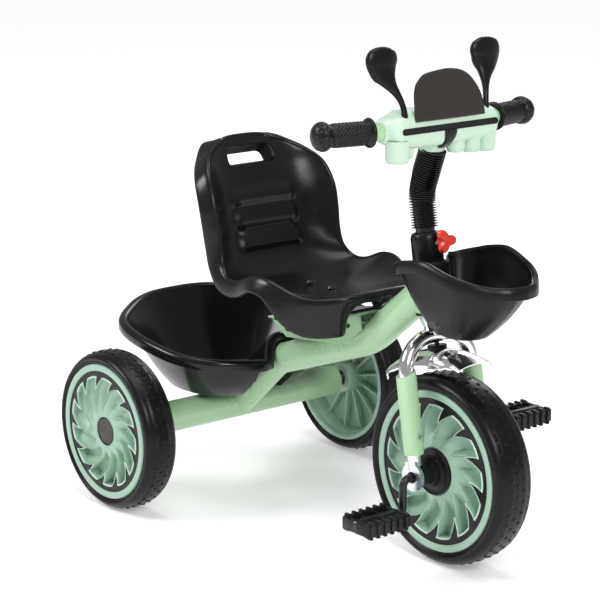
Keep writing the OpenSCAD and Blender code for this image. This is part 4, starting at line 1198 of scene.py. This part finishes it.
def grip(word, side):
    """Rubber grip: flange, diamond texture and a round end with small holes."""
    matrix_x = Vector((-math.sin(math.radians(12)), side * math.cos(math.radians(12)), 0))
    origin_bar = Vector((-40 * (1 - math.cos(math.radians(12))), side * (82 + 40 * math.sin(math.radians(12))), 0))
    matrix = BAR @ frame_of(origin_bar, (0, 0, 1), matrix_x) @ Matrix.Scale(1 / MM, 4)
    bm = bmesh.new()
    profile = [(11.2, 13), (17.0, 13), (18.3, 14), (18.5, 16), (18.0, 17.2), (15.6, 18.6), (14.6, 21)]
    profile += [(14.0, 21 + k * 0.9) for k in range(1, 52)]
    centre, ball = 84, 18.3
    for k in range(25):
        a = math.radians(lerp(-42, 90, k / 24))
        profile.append((max(0.02, ball * math.cos(a)), centre - 4.0 + ball * 0.75 * math.sin(a)))

    def texture(r, h, a):
        if 22 < h < 66:
            wave = abs(math.sin(9 * a + h * 0.62)) * abs(math.sin(9 * a - h * 0.62))
            return r + 1.3 * wave ** 0.6, h
        if h > 70:
            spots = max(0.0, math.cos(7 * a) * math.cos((h - 70) * 0.70))
            return r - 1.8 * smoothstep(0.45, 0.75, spots) * smoothstep(4, 9, r), h
        return r, h

    lathe(bm, profile, steps=144, wobble=texture)
    return finish_mesh(f"grip_{word}_textured", bm, matrix, "handlebar", grip_rubber, (f"grip_{word}",), sharp=50)


for word, s in SIDES.items():
    grip(word, s)

# ------------------------------------------------------------------ fork covers, fender


def fork_cover(word, side):
    """Oval mint sleeve over a fork leg with a slanted top."""
    bm = bmesh.new()
    rows = []
    for z in [28 + 102 * k / 24 for k in range(25)]:
        u = (z - 28) / 102
        half_x = 12.4 - 1.0 * (1 - smoothstep(0.0, 0.03, u))
        half_y = 12.2 - 1.0 * (1 - smoothstep(0.0, 0.03, u))
        row = []
        for k in range(40):
            a = 2 * math.pi * k / 40
            c, s = math.cos(a), math.sin(a)
            y = side * 57 + half_y * math.copysign(abs(s) ** 0.85, s)
            slant = (57 - side * y) * 0.36 * smoothstep(0.55, 1.0, u)
            row.append((half_x * math.copysign(abs(c) ** 0.85, c), y, z + slant + 1.5 * smoothstep(0.9, 1, u)))
        rows.append(row)
    made = grid(bm, rows, close_v=True)
    top_in = [bm.verts.new((v.co.x * 0.90, side * 57 + (v.co.y - side * 57) * 0.90, v.co.z + 0.6)) for v in made[-1]]
    deep_in = [bm.verts.new((v.co.x * 0.80, side * 57 + (v.co.y - side * 57) * 0.80, v.co.z - 1.6)) for v in made[-1]]
    for a, b in ((made[-1], top_in), (top_in, deep_in)):
        for k in range(40):
            bm.faces.new((a[k], a[(k + 1) % 40], b[(k + 1) % 40], b[k]))
    bm.faces.new(deep_in)
    low_in = [bm.verts.new((v.co.x * 0.75, side * 57 + (v.co.y - side * 57) * 0.75, v.co.z)) for v in made[0]]
    for k in range(40):
        bm.faces.new((made[0][k], low_in[k], low_in[(k + 1) % 40], made[0][(k + 1) % 40]))
    return finish_mesh(f"fork_sleeve_{word}", bm, FORK, "fork", mint_cover, (f"fork_cover_{word}",), sharp=40)


for word, s in SIDES.items():
    fork_cover(word, s)


GUARD_TOP, GUARD_HALF = 157.5, 30


def fender():
    """Chrome guard over the front wheel: an arched sheet with a rounded tail."""
    bm = bmesh.new()
    rows = []
    steps, across = 80, 28
    start, end = math.radians(73), math.radians(138)
    for i in range(steps + 1):
        u = i / steps
        a = lerp(start, end, u)
        tail = smoothstep(0.80, 1.0, u)
        half = GUARD_HALF * (1 - 0.55 * tail ** 2)
        drop = 8.0 + 14.0 * smoothstep(0.0, 0.30, u) - 11.0 * smoothstep(0.45, 1.0, u)
        top = lerp(GUARD_TOP, GUARD_TOP - 4, u) - 3.0 * (1 - smoothstep(0.0, 0.18, u))
        row = []
        for k in range(across + 1):
            lean = math.pi / 2 * (2 * k / across - 1)
            r = top - drop * (1 - math.cos(lean))
            row.append((r * math.cos(a), half * math.sin(lean), r * math.sin(a)))
        rows.append(row)
    grid(bm, rows)
    thicken(bm, 1.3)
    upright = frame_of(front_axle, (1, 0, 0), (0, 0, 1))
    finish_mesh("front_guard", bm, upright, "fork", chrome, ("fender",), sharp=50)
    boss = bmesh.new()
    closed_lathe(boss, [(4, 150), (12, 150), (12.6, 151), (12.6, 158), (12, 159.5), (4, 159.5)], steps=48)
    finish_mesh("front_guard_spacer", boss, FORK, "fork", black_plastic, ("fender",), sharp=40)


fender()

# ------------------------------------------------------------------ pedals


def pedal(word, side):
    """Cage pedal: barrel, two side bars with teeth, end plates and tread blocks."""
    low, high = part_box(f"pedal_{word}")
    middle = (low + high) / 2
    place = frame_of(middle, (1, 0, 0), (0, side, 0))
    long, deep, thick = 71.0, 52.0, 23.0
    bm = bmesh.new()
    parts = [((0, 0, 0), (4.5, 5.5, long / 2), 2.0)]
    for s in (-1, 1):
        parts.append(((s * (deep / 2 - 5.5), 0, 0), (3.6, thick / 2 - 2.2, long / 2 - 1), 1.2))
        parts.append(((0, 0, s * (long / 2 - 3.4)), (deep / 2 - 1.2, thick / 2 - 3.4, 3.4), 1.6))
        parts.append(((0, 0, s * long * 0.16), (deep / 2 - 3, thick / 2 - 5.0, 2.2), 1.0))
    for centre, half, radius in parts:
        box_block(bm, centre, half, radius)
    for s in (-1, 1):
        for face in (-1, 1):
            for k in range(6):
                z = -long / 2 + 6.5 + k * (long - 13) / 5
                box_block(bm, (s * (deep / 2 - 4.5), face * (thick / 2 - 1.6), z), (4.2, 1.6, 2.4), 0.8, 1)
        for k in range(6):
            z = -long / 2 + 6.5 + k * (long - 13) / 5
            box_block(bm, (s * (deep / 2 - 0.8), 0, z), (0.9, thick / 2 - 4, 2.4), 0.5, 1)
    barrel = bmesh.new()
    closed_lathe(barrel, [(5.4, -long / 2 + 1), (8.6, -long / 2 + 1), (9.0, -long / 2 + 2), (9.0, long / 2 - 2),
                          (8.6, long / 2 - 1), (5.4, long / 2 - 1)], steps=40)
    mesh = bpy.data.meshes.new("barrel")
    barrel.to_mesh(mesh)
    barrel.free()
    bm.from_mesh(mesh)
    bpy.data.meshes.remove(mesh)
    return finish_mesh(f"pedal_{word}_cage", bm, place, f"{word}_pedal", black_plastic, (f"pedal_{word}",), sharp=35)


for word, s in SIDES.items():
    pedal(word, s)

# ------------------------------------------------------------------ pieces that keep the frame's own geometry

OWN = {
    mint_paint: ("frame_beam", "head_tube", "rear_axle_tube", "seat_bracket", "handlebar_tube"),
    chrome: ("fork_tube", "steerer_tube"),
    zinc: ("fork_dropouts", "rear_axle", "rear_axle_nuts", "crown_race", "clamp_screw",
           "fork_cover_screws", "pedal_nuts"),
    black_steel: ("crank", "head_bearing_cups", "fender_bolt", "seat_screws", "seat_plate", "handlebar_post", "rear_basket_screws",
                  "front_basket_screws"),
    black_plastic: ("seat_lock_knob", "axle_tube_bushes", "fork_bushes"),
}
for material, names in OWN.items():
    for name in names:
        obj = frame["nodes"][name]
        obj.data.materials.clear()
        obj.data.materials.append(material)

# ------------------------------------------------------------------ floor, light and camera

floor_mesh = bmesh.new()
reach = 30.0
steps = 24
grid(floor_mesh, [[(reach * (2 * i / steps - 1), reach * (2 * j / steps - 1), 0) for j in range(steps + 1)]
                  for i in range(steps + 1)])
floor_data = bpy.data.meshes.new("floor_sheet")
floor_mesh.to_mesh(floor_data)
floor_mesh.free()
floor_data.shade_smooth()
floor = bpy.data.objects.new("floor_sheet", floor_data)
bpy.context.scene.collection.objects.link(floor)
n = Nodes("floor_paper", "stage")
n.put(n.bsdf, "Base Color", n.mix(n.noise(2.0), (0.93, 0.93, 0.93, 1), (0.96, 0.96, 0.96, 1)))
n.put(n.bsdf, "Roughness", 0.8)
n.put(n.bsdf, "Emission Color", (1.0, 1.0, 1.0, 1.0))
away = n.add("ShaderNodeVectorMath")
away.operation = "LENGTH"
n.tree.links.new(n.coord.outputs["Object"], away.inputs[0])
n.put(n.bsdf, "Emission Strength", n.span(away.outputs["Value"], 0.6, 3.0, 0.30, 0.62))
floor_data.materials.append(n.material)


def area_light(name, place, aim, power, width, height):
    data = bpy.data.lights.new(name, "AREA")
    data.energy = power
    data.shape = "RECTANGLE"
    data.size, data.size_y = width, height
    lamp = bpy.data.objects.new(name, data)
    lamp.location = place
    lamp.rotation_euler = (Vector(aim) - Vector(place)).to_track_quat("-Z", "Y").to_euler()
    bpy.context.scene.collection.objects.link(lamp)


AIM = (0.0, 0.0, 0.3)
area_light("key_left", (-1.3, -2.2, 2.2), AIM, 54, 1.2, 0.9)
area_light("key_right", (2.6, -0.8, 2.0), AIM, 44, 1.0, 1.0)
area_light("top", (0.1, 0.0, 2.8), AIM, 38, 1.8, 1.8)
area_light("back_rim", (-1.2, 2.3, 1.6), AIM, 14, 1.2, 0.8)

world = bpy.context.scene.world or bpy.data.worlds.new("World")
bpy.context.scene.world = world
world.use_nodes = True
background = world.node_tree.nodes["Background"]
background.inputs["Color"].default_value = (1.0, 1.0, 1.0, 1.0)
seen = world.node_tree.nodes.new("ShaderNodeLightPath")
strength = world.node_tree.nodes.new("ShaderNodeMapRange")
strength.inputs["To Min"].default_value = 0.34
strength.inputs["To Max"].default_value = 1.0
world.node_tree.links.new(seen.outputs["Is Camera Ray"], strength.inputs["Value"])
world.node_tree.links.new(strength.outputs["Result"], background.inputs["Strength"])
bpy.context.scene.view_settings.view_transform = "Standard"

AZIMUTH, ELEVATION, DISTANCE = math.radians(51.08), math.radians(14.39), 2.84416
target = Vector((-0.10134, 0.0, 0.25592))
away = Vector((math.cos(ELEVATION) * math.sin(AZIMUTH), -math.cos(ELEVATION) * math.cos(AZIMUTH), math.sin(ELEVATION)))
camera = bpy.data.objects.new("camera", bpy.data.cameras.new("camera"))
bpy.context.scene.collection.objects.link(camera)
camera.location = target + away * DISTANCE
camera.rotation_euler = away.to_track_quat("Z", "Y").to_euler()
camera.data.lens = 123.0
camera.data.sensor_width = 36.0
camera.data.shift_x, camera.data.shift_y = 0.0274, 0.0284
bpy.context.scene.camera = camera
